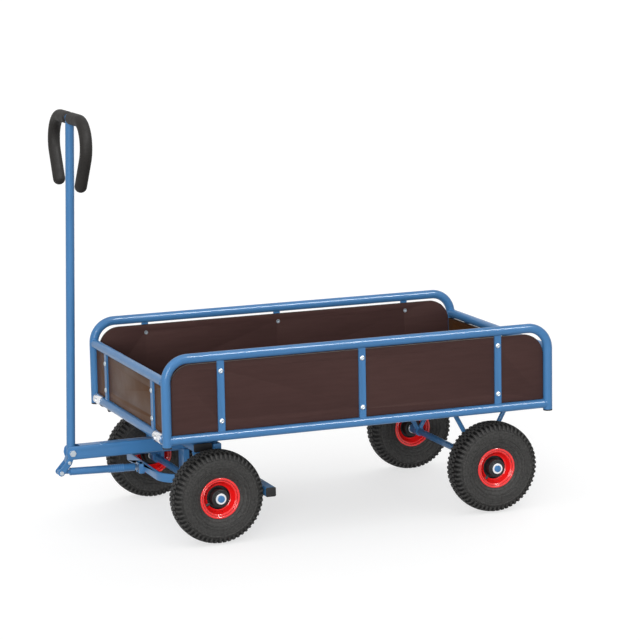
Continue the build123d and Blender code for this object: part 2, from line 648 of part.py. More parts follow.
# Bogie legs from the crossbeam to the axle, and the middle stay under the tow beam
beam_under = pivot_z - BEAM_H / 2
with BuildPart() as bogie_legs:
    for side in (1, -1):
        with BuildSketch(side_plane(side * leg_y)):
            with BuildLine():
                Polyline(
                    (axle_x - BOGIE_TAIL, crossbeam_under),
                    (axle_x + LEG_AHEAD, crossbeam_under),
                    (axle_x + LEG_BOSS_D / 2, axle_z),
                    (axle_x - LEG_BOSS_D / 2, axle_z),
                    close=True,
                )
            make_face()
            with Locations((axle_x, axle_z)):
                Circle(LEG_BOSS_D / 2)
        extrude(amount=LEG_T / 2, both=True)
        with Locations(facing((axle_x, side * leg_y, axle_z), (0, side, 0))):
            Cylinder(LEG_BOSS_D / 2, washer_y - leg_y, align=FROM_BASE)
    with Locations((axle_x - STAY_SETBACK, 0, axle_z)):
        Box(STAY_T, STAY_W, beam_under - axle_z, align=FROM_BASE)
    rail_cut(AXLE_D / 2 + REST_GAP, (axle_x, 0, axle_z), (0, 1, 0), 4 * axle_tip_y)
bogie_legs.part.label = "bogie_legs"
export_step(bogie_legs.part, "parts/bogie_legs.step")

# Tow beam: a box section whose front is an open fork
beam_tail = axle_x - BOGIE_TAIL
beam_front = pivot_x + FORK_NOSE
with BuildPart() as tow_beam:
    with BuildSketch(cross_plane(beam_tail)):
        with Locations((0, pivot_z)):
            RectangleRounded(beam_w, BEAM_H, BEAM_CORNER_R)
            RectangleRounded(
                2 * fork_in_y, BEAM_H - 2 * BEAM_WALL, BEAM_CORNER_R - BEAM_WALL,
                mode=Mode.SUBTRACT,
            )
    extrude(amount=beam_front - beam_tail)
    with Locations((pivot_x - FORK_DEPTH, 0, pivot_z)):
        Box(
            FORK_DEPTH + 2 * FORK_NOSE, 2 * fork_in_y, 2 * BEAM_H,
            align=(Align.MIN, Align.CENTER, Align.CENTER), mode=Mode.SUBTRACT,
        )
    with BuildSketch(side_plane(0)):
        with Locations((pivot_x - FORK_DEPTH, pivot_z)):
            Rectangle(FORK_DEPTH + 2 * FORK_NOSE, 2 * BEAM_H, align=(Align.MIN, Align.CENTER))
        with Locations((beam_front, pivot_z)):
            RectangleRounded(
                2 * (FORK_DEPTH + FORK_NOSE) + BEAM_H, BEAM_H, FORK_CORNER_R,
                align=(Align.MAX, Align.CENTER), mode=Mode.SUBTRACT,
            )
    extrude(amount=beam_w, both=True, mode=Mode.SUBTRACT)
    rail_cut(PIVOT_D / 2 + REST_GAP, (pivot_x, 0, pivot_z), (0, 1, 0), 2 * beam_w)
    rail_cut(KING_D / 2 + RUN_GAP, (axle_x, 0, crossbeam_under), (0, 0, 1), BEAM_H)
tow_beam.part.label = "tow_beam"
export_step(tow_beam.part, "parts/tow_beam.step")

# Pivot bolt of the drawbar with its nut, on the outside of the fork
pivot_hex_r = PIVOT_D * HEX_RATIO / 2
pivot_head_y = beam_w / 2 + REST_GAP
with BuildPart() as pivot_bolt:
    for side in (1, -1):
        with BuildSketch(side_plane(side * (pivot_head_y + PIVOT_HEAD_H / 2))):
            with Locations((pivot_x, pivot_z)):
                RegularPolygon(pivot_hex_r, 6)
        extrude(amount=PIVOT_HEAD_H / 2, both=True)
    with Locations(facing((pivot_x, 0, pivot_z), (0, 1, 0))):
        Cylinder(PIVOT_D / 2, 2 * pivot_head_y + PIVOT_HEAD_H)
pivot_bolt.part.label = "pivot_bolt"
export_step(pivot_bolt.part, "parts/pivot_bolt.step")

# Drawbar: tube, handle bow and grips, all in the plane that leans back with the drawbar
up = Vector(-sin(radians(DRAWBAR_LEAN)), 0, cos(radians(DRAWBAR_LEAN)))
pivot = Vector(pivot_x, 0, pivot_z)
handle_plane = Plane(origin=pivot, x_dir=(0, 1, 0), z_dir=(up.Z, 0, -up.X))
handle_top = pivot + up * HANDLE_REACH
handle_corner = (HANDLE_TOP / 2, HANDLE_REACH)
handle_tip = (HANDLE_TIP_SPREAD / 2, HANDLE_REACH - HANDLE_ARM_H)

with BuildPart() as drawbar_tube:
    with BuildSketch(Plane(origin=pivot - up * DRAWBAR_FOOT, z_dir=up)):
        Circle(DRAWBAR_D / 2)
        Circle(DRAWBAR_D / 2 - DRAWBAR_WALL, mode=Mode.SUBTRACT)
    extrude(amount=HANDLE_REACH + DRAWBAR_FOOT)
    rail_cut(HANDLE_D / 2 + REST_GAP, handle_top, (0, 1, 0), 4 * DRAWBAR_D)
    with BuildSketch(side_plane(0)):
        with Locations((pivot_x, pivot_z)):
            Circle(TONGUE_D / 2)
        with Locations((stop_x, stop_z)):
            Circle(TONGUE_D / 2)
        make_hull()
    extrude(amount=TONGUE_T / 2, both=True)
    rail_cut(PIVOT_D / 2 + RUN_GAP, pivot, (0, 1, 0), 4 * DRAWBAR_D)
    rail_cut(STOP_D / 2 + REST_GAP, (stop_x, 0, stop_z), (0, 1, 0), 4 * DRAWBAR_D)
drawbar_tube.part.label = "drawbar_tube"
export_step(drawbar_tube.part, "parts/drawbar_tube.step")

with BuildPart() as handle_bow:
    with BuildLine(handle_plane):
        FilletPolyline(
            (-handle_tip[0], handle_tip[1]), (-handle_corner[0], handle_corner[1]),
            handle_corner, handle_tip, radius=HANDLE_BEND_R,
        )
    arm_run = Vector(handle_corner[0] - handle_tip[0], handle_corner[1] - handle_tip[1])
    tip_place = handle_plane.from_local_coords((-handle_tip[0], handle_tip[1], 0))
    with BuildSketch(Plane(origin=tip_place, z_dir=Vector(0, -arm_run.X, 0) + up * arm_run.Y)):
        Circle(HANDLE_D / 2)
    sweep()
handle_bow.part.label = "handle_bow"
export_step(handle_bow.part, "parts/handle_bow.step")

for label, side in (("grip_left", 1), ("grip_right", -1)):
    with BuildPart() as grip:
        with BuildLine(handle_plane):
            FilletPolyline(
                (side * grip_start, HANDLE_REACH), (side * handle_corner[0], handle_corner[1]),
                (side * handle_tip[0], handle_tip[1]), radius=HANDLE_BEND_R,
            )
        with BuildSketch(facing(handle_top + Vector(0, side * grip_start, 0), (0, side, 0))):
            Circle(GRIP_D / 2)
            Circle(HANDLE_D / 2 + REST_GAP, mode=Mode.SUBTRACT)
        sweep()
        tip = handle_plane.from_local_coords((side * handle_tip[0], handle_tip[1], 0))
        outwards = Vector(0, side * (handle_tip[0] - handle_corner[0]), 0) - up * HANDLE_ARM_H
        with BuildSketch(Plane(origin=tip, x_dir=outwards, z_dir=(up.Z, 0, -up.X))):
            with BuildLine():
                Line((0, 0), (GRIP_D / 2, 0))
                CenterArc((0, 0), GRIP_D / 2, 0, 90)
                Line((0, GRIP_D / 2), (0, 0))
            make_face()
        revolve(axis=Axis(tip, outwards))
    grip.part.label = label
    export_step(grip.part, f"parts/{label}.step")

# Lever plates inside the fork, on both sides of the drawbar tube: a round head, a neck to the stop bolt
# and an arm to the rod pin
lever_reaches = [
    ((pivot_x, pivot_z, LEVER_NECK_W), (stop_x, stop_z, LEVER_NECK_W)),
    ((stop_x, stop_z, LEVER_NECK_W), (pin_x, pin_z, LEVER_W)),
]
with BuildPart() as lever_plates:
    for side in (1, -1):
        lever_plane = side_plane(side * (lever_in_y + lever_out_y) / 2)
        for reach in lever_reaches:
            with BuildSketch(lever_plane):
                for x, z, width in reach:
                    with Locations((x, z)):
                        Circle(width / 2)
                make_hull()
            extrude(amount=LEVER_T / 2, both=True)
        with BuildSketch(lever_plane):
            with Locations((pivot_x, pivot_z)):
                Circle(LEVER_HEAD_D / 2)
        extrude(amount=LEVER_T / 2, both=True)
    rail_cut(PIVOT_D / 2 + RUN_GAP, (pivot_x, 0, pivot_z), (0, 1, 0), 4 * beam_w)
    rail_cut(STOP_D / 2 + REST_GAP, (stop_x, 0, stop_z), (0, 1, 0), 4 * beam_w)
    rail_cut(PIN_D / 2 + REST_GAP, (pin_x, 0, pin_z), (0, 1, 0), 4 * beam_w)
lever_plates.part.label = "lever_plates"
export_step(lever_plates.part, "parts/lever_plates.step")

# Stop bolt that ties the lever plates to the drawbar's tongue, and the rod pin
pin_hex_r = PIN_D * HEX_RATIO / 2
with BuildPart() as lever_bolts:
    with Locations(facing((stop_x, 0, stop_z), (0, 1, 0))):
        Cylinder(STOP_D / 2, 2 * (lever_out_y + STOP_HEAD_H))
    for side in (1, -1):
        with Locations(facing((stop_x, side * lever_out_y, stop_z), (0, side, 0))):
            Cylinder(STOP_HEAD_D / 2, STOP_HEAD_H, align=FROM_BASE)
        with Locations(facing((stop_x, side * (TONGUE_T / 2 + REST_GAP), stop_z), (0, side, 0))):
            Cylinder(STOP_SPACER_D / 2, lever_in_y - TONGUE_T / 2 - 2 * REST_GAP, align=FROM_BASE)
        with BuildSketch(facing((pin_x, side * lever_out_y, pin_z), (0, side, 0))):
            RegularPolygon(pin_hex_r, 6)
        extrude(amount=PIN_HEAD_H if side > 0 else PIN_NUT_H)
    with Locations(facing((pin_x, lever_out_y + PIN_HEAD_H, pin_z), (0, -1, 0))):
        Cylinder(PIN_D / 2, 2 * lever_out_y + PIN_HEAD_H + PIN_NUT_H + PIN_THREAD, align=FROM_BASE)
lever_bolts.part.label = "lever_bolts"
export_step(lever_bolts.part, "parts/lever_bolts.step")

# Brake rod, from its eye on the rod pin back to the bow's fork
bow_face = bow_x + BOW_T / 2
fork_back = bow_face + END_NUT_T + 2 * FORK_PLAY
fork_front = fork_back + FORK_PLATE_T
stud_z = bow_z - STUD_BELOW_BOW
pin = Vector(pin_x, 0, pin_z)
stud_end = Vector(bow_face + FORK_PLAY, 0, stud_z)
rod_run = stud_end - pin
rod_length = rod_run.length
along = rod_run.normalized()
lock_nut_s = rod_length - (fork_front + FORK_PLAY - stud_end.X) - LOCK_NUT_L


def rod_plane(distance):
    """Plane square to the rod at a distance behind the rod pin, with sketch x across the cart."""
    return Plane(origin=pin + along * distance, x_dir=(0, 1, 0), z_dir=along)


with BuildPart() as brake_rod:
    with BuildSketch(rod_plane(ROD_START)):
        Circle(ROD_D / 2)
    extrude(amount=lock_nut_s - ROD_START)
    with BuildSketch(rod_plane(ROD_START + ROD_END_WALL)):
        Circle(ROD_D / 2 - ROD_WALL)
    extrude(amount=lock_nut_s - ROD_START - ROD_END_WALL, mode=Mode.SUBTRACT)
    with BuildSketch(rod_plane(0)):
        Rectangle(NECK_T, NECK_H)
    extrude(amount=ROD_START)
    with Locations(facing(pin, (0, 1, 0))):
        Cylinder(EYE_D / 2, 2 * (lever_in_y - SIDE_PLAY))
    rail_cut(PIN_D / 2 + RUN_GAP, pin, (0, 1, 0), 4 * DRAWBAR_D)
brake_rod.part.label = "brake_rod"
export_step(brake_rod.part, "parts/brake_rod.step")

with BuildPart() as rod_stud:
    with BuildSketch(rod_plane(lock_nut_s - LOCK_NUT_L)):
        Circle(ROD_D / 2 - ROD_WALL - REST_GAP)
    extrude(amount=LOCK_NUT_L)
    with BuildSketch(rod_plane(lock_nut_s)):
        RegularPolygon(LOCK_NUT_D / 2, 6)
    extrude(amount=LOCK_NUT_L)
    with BuildSketch(rod_plane(lock_nut_s)):
        Circle(STUD_D / 2)
    extrude(amount=rod_length - lock_nut_s)
    with BuildSketch(rod_plane(rod_length - END_NUT_T)):
        RegularPolygon(END_NUT_D / 2, 6)
    extrude(amount=END_NUT_T)
rod_stud.part.label = "rod_stud"
export_step(rod_stud.part, "parts/rod_stud.step")

# Brake bow: a flat bar bent to a U, with the fork for the stud and the hangers of the brake bar
fork_top = stud_z + FORK_RISE
fork_foot = stud_z - FORK_FALL
slot_w = STUD_D + 2 * STUD_SIDE_GAP
with BuildPart() as brake_bow:
    with BuildLine():
        FilletPolyline(
            (brake_bar_x, bow_y, bow_z), (bow_x, bow_y, bow_z),
            (bow_x, -bow_y, bow_z), (brake_bar_x, -bow_y, bow_z), radius=BOW_BEND_R,
        )
    with BuildSketch(cross_plane(brake_bar_x)):
        with Locations((bow_y, bow_z)):
            Rectangle(BOW_T, BOW_H)
    sweep()
    for y in (bow_y, -bow_y):
        with Locations((brake_bar_x + HANGER_W / 2, y, brake_bar_top)):
            Box(HANGER_W, BOW_T, bow_z - brake_bar_top, align=FROM_BASE)
    with BuildSketch(cross_plane(bow_x)):
        with Locations((0, fork_foot)):
            Rectangle(FORK_PLATE_W, fork_top - fork_foot, align=(Align.CENTER, Align.MIN))
    extrude(amount=fork_front - bow_x)
    with Locations((bow_face, 0, fork_foot - FORK_FALL)):
        Box(
            fork_back - bow_face, FORK_PLATE_W - 2 * FORK_PLATE_T, 2 * FORK_FALL + fork_top - fork_foot,
            align=(Align.MIN, Align.CENTER, Align.MIN), mode=Mode.SUBTRACT,
        )
    with Locations((bow_face, 0, stud_z + STUD_D / 2 + STUD_SIDE_GAP)):
        Box(
            2 * (fork_front - bow_face), slot_w, 2 * FORK_FALL,
            align=(Align.MIN, Align.CENTER, Align.MAX), mode=Mode.SUBTRACT,
        )
brake_bow.part.label = "brake_bow"
export_step(brake_bow.part, "parts/brake_bow.step")

# Brake bar across both front tyres, with its end caps
with BuildPart() as brake_bar:
    with BuildSketch(side_plane(0)):
        with Locations((brake_bar_x, brake_bar_z)):
            RectangleRounded(BRAKE_BAR_W, BRAKE_BAR_H, BRAKE_BAR_CORNER_R)
            RectangleRounded(
                BRAKE_BAR_W - 2 * BRAKE_BAR_WALL, BRAKE_BAR_H - 2 * BRAKE_BAR_WALL,
                BRAKE_BAR_CORNER_R - BRAKE_BAR_WALL, mode=Mode.SUBTRACT,
            )
    extrude(amount=brake_bar_end_y, both=True)
brake_bar.part.label = "brake_bar"
export_step(brake_bar.part, "parts/brake_bar.step")

cap_inset = 2 * (BRAKE_BAR_WALL + REST_GAP)
with BuildPart() as brake_bar_caps:
    for side in (1, -1):
        with BuildSketch(side_plane(side * (brake_bar_end_y + BRAKE_CAP_T / 2))):
            with Locations((brake_bar_x, brake_bar_z)):
                RectangleRounded(BRAKE_BAR_W, BRAKE_BAR_H, BRAKE_BAR_CORNER_R)
        extrude(amount=BRAKE_CAP_T / 2, both=True)
        with BuildSketch(side_plane(side * (brake_bar_end_y - BRAKE_CAP_DEPTH / 2))):
            with Locations((brake_bar_x, brake_bar_z)):
                RectangleRounded(
                    BRAKE_BAR_W - cap_inset, BRAKE_BAR_H - cap_inset, BRAKE_BAR_CORNER_R - BRAKE_BAR_WALL,
                )
        extrude(amount=BRAKE_CAP_DEPTH / 2, both=True)
brake_bar_caps.part.label = "brake_bar_caps"
export_step(brake_bar_caps.part, "parts/brake_bar_caps.step")


# Wheels
rim_r = RIM_FLANGE_D / 2
seat_r = RIM_SEAT_D / 2
seat_in_r = seat_r - RIM_WALL
flange_in = RIM_W / 2 - RIM_WALL
web_out = WEB_OFFSET + RIM_WALL
cone_slope = (RIM_W / 2 - web_out) / (seat_r - RIM_FLAT_D / 2)
cone_in = WEB_OFFSET + (seat_in_r - RIM_FLAT_D / 2 - RIM_WALL / 2) * cone_slope
tyre_r = TYRE_D / 2
bulge_r = (tyre_r + rim_r) / 2
shoulder_r = tyre_r - SHOULDER_DROP
tube_ring_r = seat_r + REST_GAP + TUBE_RING_D / 2 + RIM_WALL


def wheel_section(x, side):
    """Plane through a wheel's axis: sketch x is the radius, sketch y points outwards from the cart."""
    return Plane(origin=(x, side * wheel_y, axle_z), x_dir=(0, 0, 1), z_dir=(-side, 0, 0))


def make_wheel(name, x, side, valve_turn):
    """Write the pieces of one wheel."""
    section = wheel_section(x, side)
    spin = Axis((x, side * wheel_y, axle_z), (0, 1, 0))
    turn = radians(valve_turn)
    to_valve = Vector(cos(turn), 0, -sin(turn))
    valve_tip = Vector(x, side * (wheel_y + VALVE_OFFSET), axle_z) + to_valve * VALVE_TIP_R

    # Tyre: beads on the rim, rounded walls and a slightly crowned tread
    with BuildPart() as tyre:
        with BuildSketch(section):
            with BuildLine():
                bead_out = flange_in - REST_GAP
                Line((seat_r + REST_GAP, bead_out), (rim_r, bead_out))
                TangentArc((bulge_r, TYRE_W / 2), (rim_r, bead_out), tangent=(-1, 0))
                TangentArc((bulge_r, TYRE_W / 2), (shoulder_r, TREAD_W / 2), tangent=(1, 0))
                ThreePointArc((shoulder_r, TREAD_W / 2), (tyre_r, 0), (shoulder_r, -TREAD_W / 2))
                TangentArc((bulge_r, -TYRE_W / 2), (shoulder_r, -TREAD_W / 2), tangent=(1, 0))
                TangentArc((bulge_r, -TYRE_W / 2), (rim_r, -bead_out), tangent=(-1, 0))
                Line((rim_r, -bead_out), (seat_r + REST_GAP, -bead_out))
                Line((seat_r + REST_GAP, -bead_out), (seat_r + REST_GAP, bead_out))
            make_face()
            with Locations((tube_ring_r, 0)):
                Circle(TUBE_RING_D / 2 + REST_GAP, mode=Mode.SUBTRACT)
            with Locations((seat_r + REST_GAP, 0)):
                Rectangle(TUBE_RING_D / 2, bead_out, mode=Mode.SUBTRACT)
        revolve(axis=spin)
        rail_cut(VALVE_D / 2 + REST_GAP, valve_tip, to_valve, 2 * (tube_ring_r - VALVE_TIP_R))
    tyre.part.label = f"tyre_{name}"
    export_step(tyre.part, f"parts/tyre_{name}.step")

    # Inner tube with its hollow valve, which passes through the outer rim half
    with BuildPart() as inner_tube:
        with BuildSketch(section):
            with Locations((tube_ring_r, 0)):
                Circle(TUBE_RING_D / 2)
                Circle(TUBE_RING_D / 2 - TUBE_RING_WALL, mode=Mode.SUBTRACT)
        revolve(axis=spin)
        with Locations(facing(valve_tip, to_valve)):
            Cylinder(VALVE_D / 2, tube_ring_r - VALVE_TIP_R, align=FROM_BASE)
        rail_cut(VALVE_BORE / 2, valve_tip, to_valve, 3 * (tube_ring_r - VALVE_TIP_R))
    inner_tube.part.label = f"inner_tube_{name}"
    export_step(inner_tube.part, f"parts/inner_tube_{name}.step")

    # Rim of two pressed halves that meet in the wheel's middle
    with BuildPart() as rim:
        for half in (1, -1):
            with BuildSketch(section):
                with BuildLine():
                    Polyline(
                        (seat_r, half * RIM_SPLIT / 2), (seat_r, half * flange_in),
                        (rim_r, half * flange_in), (rim_r, half * RIM_W / 2), (seat_r, half * RIM_W / 2),
                        (RIM_FLAT_D / 2, half * web_out), (RIM_HOLE_D / 2, half * web_out),
                        (RIM_HOLE_D / 2, half * (WEB_OFFSET + REST_GAP)),
                        (RIM_FLAT_D / 2 + RIM_WALL / 2, half * (WEB_OFFSET + REST_GAP)),
                        (seat_in_r, half * cone_in), (seat_in_r, half * RIM_SPLIT / 2), close=True,
                    )
                make_face()
            revolve(axis=spin)
        rail_cut(VALVE_D / 2 + REST_GAP, valve_tip, to_valve, 2 * (tube_ring_r - VALVE_TIP_R))
    rim.part.label = f"rim_{name}"
    export_step(rim.part, f"parts/rim_{name}.step")

    # Hub, a long boss with a flange between the two rim webs
    with BuildPart() as hub:
        with BuildSketch(section):
            with Locations((BEARING_D / 4 + HUB_D / 4, 0)):
                Rectangle((HUB_D - BEARING_D) / 2, HUB_L)
            with Locations((BEARING_D / 4 + HUB_FLANGE_D / 4, 0)):
                Rectangle((HUB_FLANGE_D - BEARING_D) / 2, 2 * WEB_OFFSET)
        revolve(axis=spin)
    hub.part.label = f"hub_{name}"
    export_step(hub.part, f"parts/hub_{name}.step")

    # Two bearing sleeves that run on the axle
    with BuildPart() as bearings:
        for end in (1, -1):
            with BuildSketch(section):
                bearing_in_r = AXLE_D / 2 + RUN_GAP
                bearing_out_r = BEARING_D / 2 - REST_GAP
                with Locations(((bearing_in_r + bearing_out_r) / 2, end * (HUB_L - BEARING_L) / 2)):
                    Rectangle(bearing_out_r - bearing_in_r, BEARING_L)
            revolve(axis=spin)
    bearings.part.label = f"bearings_{name}"
    export_step(bearings.part, f"parts/bearings_{name}.step")


make_wheel("front_left", axle_x, 1, FRONT_VALVE_TURN)
make_wheel("front_right", axle_x, -1, FRONT_VALVE_TURN)
make_wheel("rear_left", rear_axle_x, 1, REAR_VALVE_TURN)
make_wheel("rear_right", rear_axle_x, -1, REAR_VALVE_TURN)
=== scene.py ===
"""Looks of a four-wheeled hand cart, built round its packed construction frame. Lengths are in metres."""

import json
import math

import bpy
from mathutils import Matrix, Vector


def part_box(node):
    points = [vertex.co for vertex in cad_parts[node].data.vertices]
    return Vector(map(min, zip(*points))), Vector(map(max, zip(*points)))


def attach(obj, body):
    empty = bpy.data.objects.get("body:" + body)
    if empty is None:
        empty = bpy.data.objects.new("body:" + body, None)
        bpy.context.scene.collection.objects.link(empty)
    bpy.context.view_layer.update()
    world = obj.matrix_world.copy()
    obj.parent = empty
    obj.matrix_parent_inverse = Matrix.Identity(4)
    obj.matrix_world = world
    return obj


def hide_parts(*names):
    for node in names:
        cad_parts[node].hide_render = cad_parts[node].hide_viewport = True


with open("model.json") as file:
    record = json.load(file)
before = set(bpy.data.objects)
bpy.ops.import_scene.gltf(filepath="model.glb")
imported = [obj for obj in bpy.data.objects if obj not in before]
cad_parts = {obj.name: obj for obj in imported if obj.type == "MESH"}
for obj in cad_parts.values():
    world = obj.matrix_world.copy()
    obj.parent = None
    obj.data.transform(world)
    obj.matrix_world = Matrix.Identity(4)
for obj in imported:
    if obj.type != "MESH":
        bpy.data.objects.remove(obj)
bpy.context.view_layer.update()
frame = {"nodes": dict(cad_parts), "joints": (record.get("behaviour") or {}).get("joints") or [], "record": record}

bl_info = {
    "name": "Hand cart",
    "version": (1, 0, 0),
    "blender": (4, 5, 0),
    "location": "3D View > Sidebar > Hand cart",
    "description": "Finishes a hand cart with steered front wheels and a drawbar brake",
    "category": "Object",
}

MM = 0.001
FULL_TURN = 2 * math.pi
MERGE = 0.002 * MM
NODE_MERGE = 10 * MERGE
WHEELS = ("front_left", "front_right", "rear_left", "rear_right")
JOINTS = {joint["name"]: joint for joint in frame["joints"]}
NODE_SLOTS = {part["node"]: part["material_slot"] for part in frame["record"]["subparts"]}


class CartSizes(bpy.types.PropertyGroup):
    """Sizes of the details that the construction frame leaves plain."""

    tread_lugs: bpy.props.IntProperty(
        name="Tread lugs", description="Rubber blocks in one row round a tyre", default=56, min=24, max=90,
    )
    lug_height: bpy.props.FloatProperty(
        name="Lug height", description="Height of the tread blocks over the grooves",
        default=3.2 * MM, unit="LENGTH", precision=4,
    )
    lug_draft: bpy.props.FloatProperty(
        name="Lug draft", description="How far the sides of a tread block lean in",
        default=0.6 * MM, unit="LENGTH", precision=4,
    )
    weld_bead: bpy.props.FloatProperty(
        name="Weld bead", description="Thickness of the welds where the rails meet the corner tubes",
        default=3.2 * MM, unit="LENGTH", precision=4,
    )
    grip_ring_depth: bpy.props.FloatProperty(
        name="Grip ring depth", description="Depth of the fine rings round the foam grips",
        default=0.2 * MM, unit="LENGTH", precision=5,
    )


class CartColours(bpy.types.PropertyGroup):
    """Colours of the finishes."""

    frame_blue: bpy.props.FloatVectorProperty(
        name="Frame blue", description="Powder coat of the frame", subtype="COLOR",
        default=(0.054, 0.182, 0.392), min=0, max=1,
    )
    rim_red: bpy.props.FloatVectorProperty(
        name="Rim red", description="Gloss coat of the rims", subtype="COLOR",
        default=(0.84, 0.008, 0.008), min=0, max=1,
    )
    board_brown: bpy.props.FloatVectorProperty(
        name="Board brown", description="Film on the plywood boards", subtype="COLOR",
        default=(0.059, 0.031, 0.029), min=0, max=1,
    )
    # The end board brown is a lighter, warmer copy of the board brown: painted light and warm sheen on the same
    # plywood film as the side boards
    lit_end_board_brown: bpy.props.FloatVectorProperty(
        name="End board brown", description="Film on the boards of the end walls", subtype="COLOR",
        default=(0.084, 0.036, 0.014), min=0, max=1,
    )
    zinc_grey: bpy.props.FloatVectorProperty(
        name="Zinc grey", description="Zinc plating of the bolts", subtype="COLOR",
        default=(0.47, 0.53, 0.58), min=0, max=1,
    )
    collar_grey: bpy.props.FloatVectorProperty(
        name="Collar grey", description="Bright zinc plating of the collars and clips", subtype="COLOR",
        default=(0.80, 0.81, 0.83), min=0, max=1,
    )
    plastic_black: bpy.props.FloatVectorProperty(
        name="Plastic black", description="Moulded plugs, caps and hubs", subtype="COLOR",
        default=(0.009, 0.009, 0.010), min=0, max=1,
    )
    grip_grey: bpy.props.FloatVectorProperty(
        name="Grip grey", description="Foam of the handle grips", subtype="COLOR",
        default=(0.0130, 0.0115, 0.0105), min=0, max=1,
    )
    tyre_grey: bpy.props.FloatVectorProperty(
        name="Tyre grey", description="Rubber of the tyres", subtype="COLOR",
        default=(0.041, 0.0403, 0.039), min=0, max=1,
    )


class CartSettings(bpy.types.PropertyGroup):
    """Everything about the cart that a user would change."""

    sizes: bpy.props.PointerProperty(type=CartSizes)
    colours: bpy.props.PointerProperty(type=CartColours)


def settings():
    """The sizes and colours of this scene's cart."""
    return bpy.context.scene.hand_cart


# Modelling helpers

def clear_selection():
    """Leave edit mode and select nothing."""
    active = bpy.context.view_layer.objects.active
    if active is not None and active.mode != "OBJECT":
        bpy.ops.object.mode_set(mode="OBJECT")
    bpy.ops.object.select_all(action="DESELECT")


def start_piece(name, add_primitive, **size):
    """Add a primitive under a name and leave it alone selected."""
    clear_selection()
    add_primitive(**size)
    piece = bpy.context.object
    piece.name = name
    piece.data.name = name
    return piece


def make_active(piece):
    """Select one piece alone and make it the active one."""
    clear_selection()
    piece.select_set(True)
    bpy.context.view_layer.objects.active = piece


def edit_all(piece):
    """Enter edit mode with every vertex of the piece selected."""
    make_active(piece)
    bpy.ops.object.mode_set(mode="EDIT")
    bpy.ops.mesh.select_mode(type="VERT")
    bpy.ops.mesh.select_all(action="SELECT")


def edit_faces(piece, wanted):
    """Enter edit mode with only the faces selected whose centre is wanted."""
    make_active(piece)
    bpy.ops.object.mode_set(mode="EDIT")
    bpy.ops.mesh.select_mode(type="FACE")
    bpy.ops.mesh.select_all(action="DESELECT")
    bpy.ops.object.mode_set(mode="OBJECT")
    for face in piece.data.polygons:
        face.select = wanted(face.center)
    bpy.ops.object.mode_set(mode="EDIT")


def leave_edit():
    bpy.ops.object.mode_set(mode="OBJECT")


def close_up():
    """Merge what meets and turn every face outwards, in edit mode."""
    bpy.ops.mesh.select_all(action="SELECT")
    bpy.ops.mesh.remove_doubles(threshold=MERGE)
    bpy.ops.mesh.normals_make_consistent(inside=False)


def turned_piece(name, outlines, steps):
    """Turn closed outlines of (radius, along) points round the Y axis at the origin."""
    piece = start_piece(name, bpy.ops.mesh.primitive_plane_add, size=MM)
    edit_all(piece)
    bpy.ops.mesh.delete(type="VERT")
    for outline in outlines:
        points = [Vector((radius, along, 0)) for radius, along in outline]
        bpy.ops.mesh.select_all(action="DESELECT")
        bpy.ops.mesh.primitive_plane_add(size=MM)
        bpy.ops.mesh.merge(type="CENTER")
        bpy.ops.transform.translate(value=points[0])
        for here, there in zip(points, points[1:] + points[:1]):
            bpy.ops.mesh.extrude_region_move(TRANSFORM_OT_translate={"value": there - here})
    bpy.ops.mesh.select_all(action="SELECT")
    bpy.ops.mesh.remove_doubles(threshold=MERGE)
    bpy.ops.mesh.select_all(action="SELECT")
    bpy.ops.mesh.spin(steps=steps, angle=FULL_TURN, center=(0, 0, 0), axis=(0, 1, 0))
    close_up()
    leave_edit()
    return piece


def round_edges(piece, width, segments=2, angle=35):
    """Round every edge sharper than the angle."""
    make_active(piece)
    bevel = piece.modifiers.new("edge_round", "BEVEL")
    bevel.width = width
    bevel.segments = segments
    bevel.limit_method = "ANGLE"
    bevel.angle_limit = math.radians(angle)
    bpy.ops.object.modifier_apply(modifier=bevel.name)


def smooth(piece, angle=40):
    """Shade a piece smooth, apart from edges sharper than the angle."""
    make_active(piece)
    bpy.ops.object.shade_smooth_by_angle(angle=math.radians(angle))


def copy_piece(master, name, place):
    """Copy a piece with a mesh of its own, moved by a matrix."""
    piece = master.copy()
    piece.data = master.data.copy()
    piece.name = name
    piece.data.name = name
    piece.data.transform(place)
    bpy.context.scene.collection.objects.link(piece)
    return piece


def join_pieces(pieces, name):
    """Join like pieces into one."""
    clear_selection()
    for piece in pieces:
        piece.select_set(True)
    bpy.context.view_layer.objects.active = pieces[0]
    bpy.ops.object.join()
    joined = bpy.context.object
    joined.name = name
    joined.data.name = name
    return joined


def finish_piece(piece, body, slot, material, *nodes):
    """Give a piece its finish, the body that it rides on and the nodes that it stands for."""
    piece.data.materials.clear()
    piece.data.materials.append(material)
    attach(piece, body)
    if nodes:
        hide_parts(*nodes)


def solid_boxes(node):
    """Lowest and highest corner of each separate solid of a CAD node."""
    trial = copy_piece(frame["nodes"][node], f"{node}_trial", Matrix())
    edit_all(trial)
    bpy.ops.mesh.remove_doubles(threshold=NODE_MERGE)
    bpy.ops.mesh.separate(type="LOOSE")
    leave_edit()
    boxes = []
    for solid in list(bpy.context.selected_objects):
        corners = [Vector(corner) for corner in solid.bound_box]
        boxes.append((corners[0], corners[6]))
        bpy.data.objects.remove(solid)
    return sorted(boxes, key=lambda box: tuple(box[0]))


def box_size(node):
    """Length, width and height of a CAD node in millimetres."""
    low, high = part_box(node)
    return (high - low) / MM


def box_middle(node):
    """Middle of a CAD node's box."""
    low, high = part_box(node)
    return (low + high) / 2


def arc(centre, radius, start, end, count):
    """Points on an arc, from one angle in degrees to another, as (radius, along) pairs."""
    turns = [math.radians(start + (end - start) * step / count) for step in range(count + 1)]
    return [(centre[0] + radius * math.cos(turn), centre[1] + radius * math.sin(turn)) for turn in turns]


def in_metres(points):
    """Points given in millimetres, in metres."""
    return [(radius * MM, along * MM) for radius, along in points]


def mirrored(points):
    """The same points on the other side of a wheel's middle, in the opposite order."""
    return [(radius, -along) for radius, along in reversed(points)]


